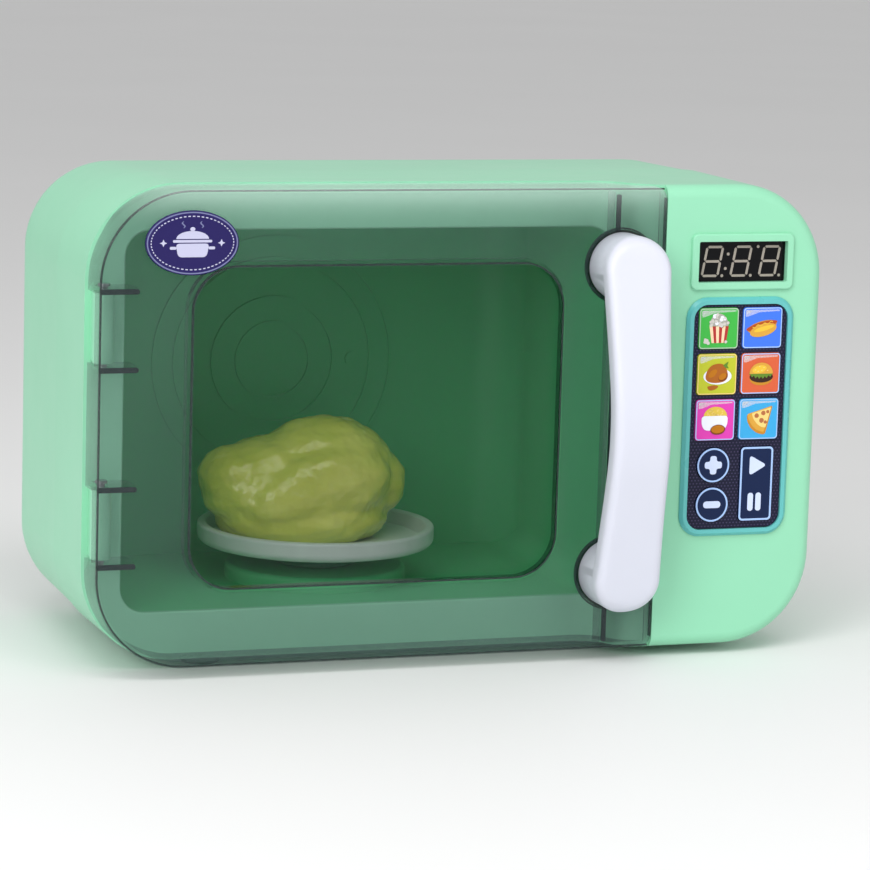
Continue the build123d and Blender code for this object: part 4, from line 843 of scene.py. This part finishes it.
def draw_rice(art):
    tile_frame(art, INK_PALE_BLUE)
    art.slab([ellipse(0.0, 1.4, 5.1, 4.0, 40, 0, 0, 180)], INK_RICE, 1)
    draw = random.Random(5)
    for _ in range(26):
        x, z = draw.uniform(-3.6, 3.4), draw.uniform(1.8, 4.2)
        if (x / 4.4) ** 2 + ((z - 1.2) / 3.3) ** 2 < 1:
            art.slab([ellipse(x, z, 0.42, 0.2, 10, draw.uniform(0, 180))], INK_CHEESE, 2)
    art.slab([rounded_polygon([(-6.0, 1.7), (5.4, 1.7), (5.3, -2.0), (3.8, -4.2), (-4.4, -4.2), (-5.9, -2.0)],
                              1.5)], INK_WHITE, 3)
    art.slab([ellipse(1.2, -3.9, 3.25, 2.05, 36, 4)], INK_ROAST_DARK, 4)
    art.slab([ellipse(1.2, -3.75, 2.8, 1.6, 36, 4)], INK_GRAVY, 5)


def draw_pizza(art):
    tile_frame(art, INK_PALE_BLUE)
    tip, left, right = (5.9, 5.4), (-5.3, 1.8), (3.0, -6.2)
    crust = [left, (-5.0, -0.9), (-3.5, -3.6), (-1.0, -5.5), (1.4, -6.3), right, tip]
    art.slab([rounded_polygon(crust, 0.9)], INK_BUN_DARK, 1)
    inner = [(-4.8, 2.0), (-4.0, -0.6), (-2.6, -2.8), (-0.4, -4.6), (2.6, -5.5), (5.6, 5.0)]
    art.slab([rounded_polygon([(x - 0.3, z + 0.1) for x, z in inner], 0.7)], INK_BUN, 2)
    cheese = [(-3.2, 2.3), (-2.3, 0.0), (-0.8, -1.9), (1.0, -3.2), (3.0, -3.6), (5.3, 4.7)]
    art.slab([rounded_polygon(cheese, 0.6)], INK_CHEESE, 3)
    slices = ((-1.0, 1.4, 0.95), (1.9, 2.4, 0.95), (1.2, -0.6, 1.0), (2.9, -1.3, 0.7), (3.8, 2.9, 0.7))
    for x, z, size in slices:
        art.slab([blob(x, z, size, int(10 * x), 0.08)], INK_SLICE, 4)


def draw_plus(art):
    outline_disc(art)
    arm, half = 3.75, 1.4
    art.slab([rounded_polygon([(-half, arm), (half, arm), (half, half), (arm, half), (arm, -half),
                               (half, -half), (half, -arm), (-half, -arm), (-half, -half), (-arm, -half),
                               (-arm, half), (-half, half)], 1.15)], INK_SYMBOL, 0)


def draw_minus(art):
    outline_disc(art)
    art.slab([rounded_rectangle(7.5, 2.8, 1.3)], INK_SYMBOL, 0)


def outline_disc(art):
    art.slab([ellipse(0, 0, 6.95, 6.95, 64), ellipse(0, 0, 6.25, 6.25, 64)], INK_PALE_BLUE, 0)


def draw_play_pause(art):
    art.slab([rounded_rectangle(14.1, 30.0, 1.6), rounded_rectangle(12.6, 28.5, 1.0)], INK_PALE_BLUE, 0)
    art.slab([rounded_polygon([(-3.1, 11.7), (-3.1, 3.3), (4.4, 7.5)], 1.7)], INK_SYMBOL, 0)
    for x in (-2.2, 1.25):
        art.slab([rounded_rectangle(2.4, 7.4, 1.1, x, -7.4)], INK_SYMBOL, 0)


KEY_ART = {
    "key_popcorn": draw_popcorn, "key_hot_dog": draw_hot_dog, "key_roast": draw_roast,
    "key_burger": draw_burger, "key_rice": draw_rice, "key_pizza": draw_pizza, "key_plus": draw_plus,
    "key_minus": draw_minus, "key_play_pause": draw_play_pause,
}


def dress_keys():
    for node, draw in KEY_ART.items():
        art = Relief(*key_face(node))
        draw(art)
        art.build(f"print_{node}", node)


# ---------------------------------------------------------------- chicken
def ellipsoid(mesh, center, radii, tilt=(0.0, 0.0, 0.0), taper=0.0):
    """Adds a ball stretched to radii in millimetres, thinner towards +X by a share, then tilted."""
    made = bmesh.ops.create_uvsphere(mesh, u_segments=32, v_segments=20, radius=1.0)
    turn = Matrix.Rotation(radians(tilt[2]), 3, "Z") @ Matrix.Rotation(radians(tilt[1]), 3, "Y")
    turn = turn @ Matrix.Rotation(radians(tilt[0]), 3, "X")
    for vertex in made["verts"]:
        slim = 1 - taper * (vertex.co.x + 1) / 2
        point = Vector((vertex.co.x * radii[0], vertex.co.y * radii[1] * slim, vertex.co.z * radii[2] * slim))
        vertex.co = turn @ point + Vector(center)


def dress_chicken():
    """Plump roast bird on its back: breast, tail, folded wings and tied legs, melted into one skin."""
    mesh = bmesh.new()
    ellipsoid(mesh, (-3, 0, 18), (40, 28, 19))
    ellipsoid(mesh, (8, 0, 24), (31, 24, 25.4))
    ellipsoid(mesh, (-14, 0, 25), (22, 21, 17))
    ellipsoid(mesh, (-30, 0, 25), (14.5, 17, 13))
    ellipsoid(mesh, (33, 0, 22), (10, 15, 13))
    ellipsoid(mesh, (-1, 0, 8), (36, 29, 14))
    for side in (-1, 1):
        ellipsoid(mesh, (6, side * 16, 23), (27, 13, 16), (0, -8, side * -6))
        ellipsoid(mesh, (-12, side * 20, 18), (18, 9, 11), (0, -12, side * 8))
    base = object_from(mesh, "bird")
    remesh = base.modifiers.new("remesh", "REMESH")
    remesh.mode = "VOXEL"
    remesh.voxel_size = 1.1
    smooth = base.modifiers.new("smooth", "SMOOTH")
    smooth.factor = 0.6
    smooth.iterations = 12
    graph = bpy.context.evaluated_depsgraph_get()
    data = bpy.data.meshes.new_from_object(base.evaluated_get(graph))
    bpy.data.objects.remove(base)
    center = (CHICKEN_LOW + CHICKEN_HIGH) / 2
    center.z = CHICKEN_LOW.z
    normals = [vertex.normal.copy() for vertex in data.vertices]
    for vertex, normal in zip(data.vertices, normals):
        point = vertex.co
        folds = noise.noise(Vector((point.x * 0.09, point.y * 0.09, point.z * 0.2)))
        ripple = noise.noise(point * 0.4)
        point = point + normal * (0.9 * folds + 0.35 * ripple)
        point.z = max(point.z, 0.25)
        vertex.co = center + point * MM
    data.name = "chicken_body"
    finish_mesh(data, [FINISH["chicken"]], 80.0)
    return add_object("chicken_body", data, "chicken", ["play_chicken"])


# ---------------------------------------------------------------- screws
def plus_outline(arm, half):
    return [(-half, arm), (half, arm), (half, half), (arm, half), (arm, -half), (half, -half), (half, -arm),
            (-half, -arm), (-half, -half), (-arm, -half), (-arm, half), (-half, half)]


def dress_battery_screw():
    """Rim with a cross recess over the plain head of the screw that holds the battery cover."""
    center = (SCREW_LOW + SCREW_HIGH) / 2
    radius = (SCREW_HIGH.x - SCREW_LOW.x) / 2 / MM
    art = Relief(center.x, center.z, SCREW_HIGH.y, 1.0)
    head = ellipse(0, 0, radius - 0.1, radius - 0.1, 40)
    art.slab([head, plus_outline(1.7, 0.42)], FINISH["screw_steel"], 0, 0.5)
    art.build("battery_screw_head", "cabinet")


# ---------------------------------------------------------------- studio
def add_camera():
    data = bpy.data.cameras.new("camera")
    data.sensor_width = SENSOR_WIDTH
    data.lens = CAMERA_LENS
    forward = Vector((sin(CAMERA_YAW) * cos(CAMERA_PITCH), cos(CAMERA_YAW) * cos(CAMERA_PITCH),
                      -sin(CAMERA_PITCH)))
    right = Vector((cos(CAMERA_YAW), -sin(CAMERA_YAW), 0.0))
    up = right.cross(forward)
    side = cos(CAMERA_ROLL) * right + sin(CAMERA_ROLL) * up
    top = cos(CAMERA_ROLL) * up - sin(CAMERA_ROLL) * right
    camera = bpy.data.objects.new("camera", data)
    turn = Matrix((side, top, -forward)).transposed().to_4x4()
    camera.matrix_world = Matrix.Translation(CAMERA_PLACE) @ turn
    bpy.context.scene.collection.objects.link(camera)
    bpy.context.scene.camera = camera


def area_light(name, place, target, size, power, color=(1.0, 1.0, 1.0)):
    data = bpy.data.lights.new(name, "AREA")
    data.shape = "RECTANGLE"
    data.size, data.size_y = size
    data.energy = power
    data.color = color
    light = bpy.data.objects.new(name, data)
    light.location = place
    light.rotation_mode = "QUATERNION"
    light.rotation_quaternion = (Vector(target) - Vector(place)).to_track_quat("-Z", "Y")
    bpy.context.scene.collection.objects.link(light)


def add_studio():
    world = bpy.data.worlds.new("studio")
    world.use_nodes = True
    background = world.node_tree.nodes["Background"]
    background.inputs["Color"].default_value = (1.0, 1.0, 1.0, 1.0)
    background.inputs["Strength"].default_value = 0.56
    bpy.context.scene.world = world
    bpy.context.scene.view_settings.view_transform = "Standard"
    middle = (0.0, 0.0, 0.1)
    area_light("key_light", (-1.3, -1.3, 0.85), middle, (0.9, 0.9), 15.0)
    area_light("fill_light", (1.2, -1.4, 0.6), middle, (1.4, 1.2), 3.0)
    area_light("top_light", (-0.2, -0.8, 1.2), middle, (1.2, 0.6), 9.5)
    mesh = bpy.data.meshes.new("floor")
    reach = 12.0
    corners = [(-reach, -reach, 0), (reach, -reach, 0), (reach, reach, 0), (-reach, reach, 0)]
    mesh.from_pydata(corners, [], [(0, 1, 2, 3)])
    floor = bpy.data.objects.new("floor", mesh)
    bpy.context.scene.collection.objects.link(floor)
    nodes = Nodes("pale_floor")
    nodes.join(nodes.blend(nodes.noise(3.0), linear(238, 238, 238), linear(242, 242, 242)),
               nodes.shader.inputs["Base Color"])
    nodes.shader.inputs["Roughness"].default_value = 0.6
    mesh.materials.append(nodes.material)


def dress_nodes():
    """Gives every CAD node the finish of its slot, and the hub a darker floor green: painted shade under the
    plate.
    """
    for part in frame["record"]["subparts"]:
        for slot in frame["nodes"][part["node"]].material_slots:
            slot.material = FINISH[part["material_slot"]]
    # painted shade on the hub in place of its own finish
    for slot in frame["nodes"]["drive_hub"].material_slots:
        slot.material = HUB_SHADE_GREEN


add_camera()
add_studio()
dress_nodes()
dress_door()
dress_dark_lines()
dress_handle()
dress_badge()
dress_keys()
dress_chicken()
dress_battery_screw()
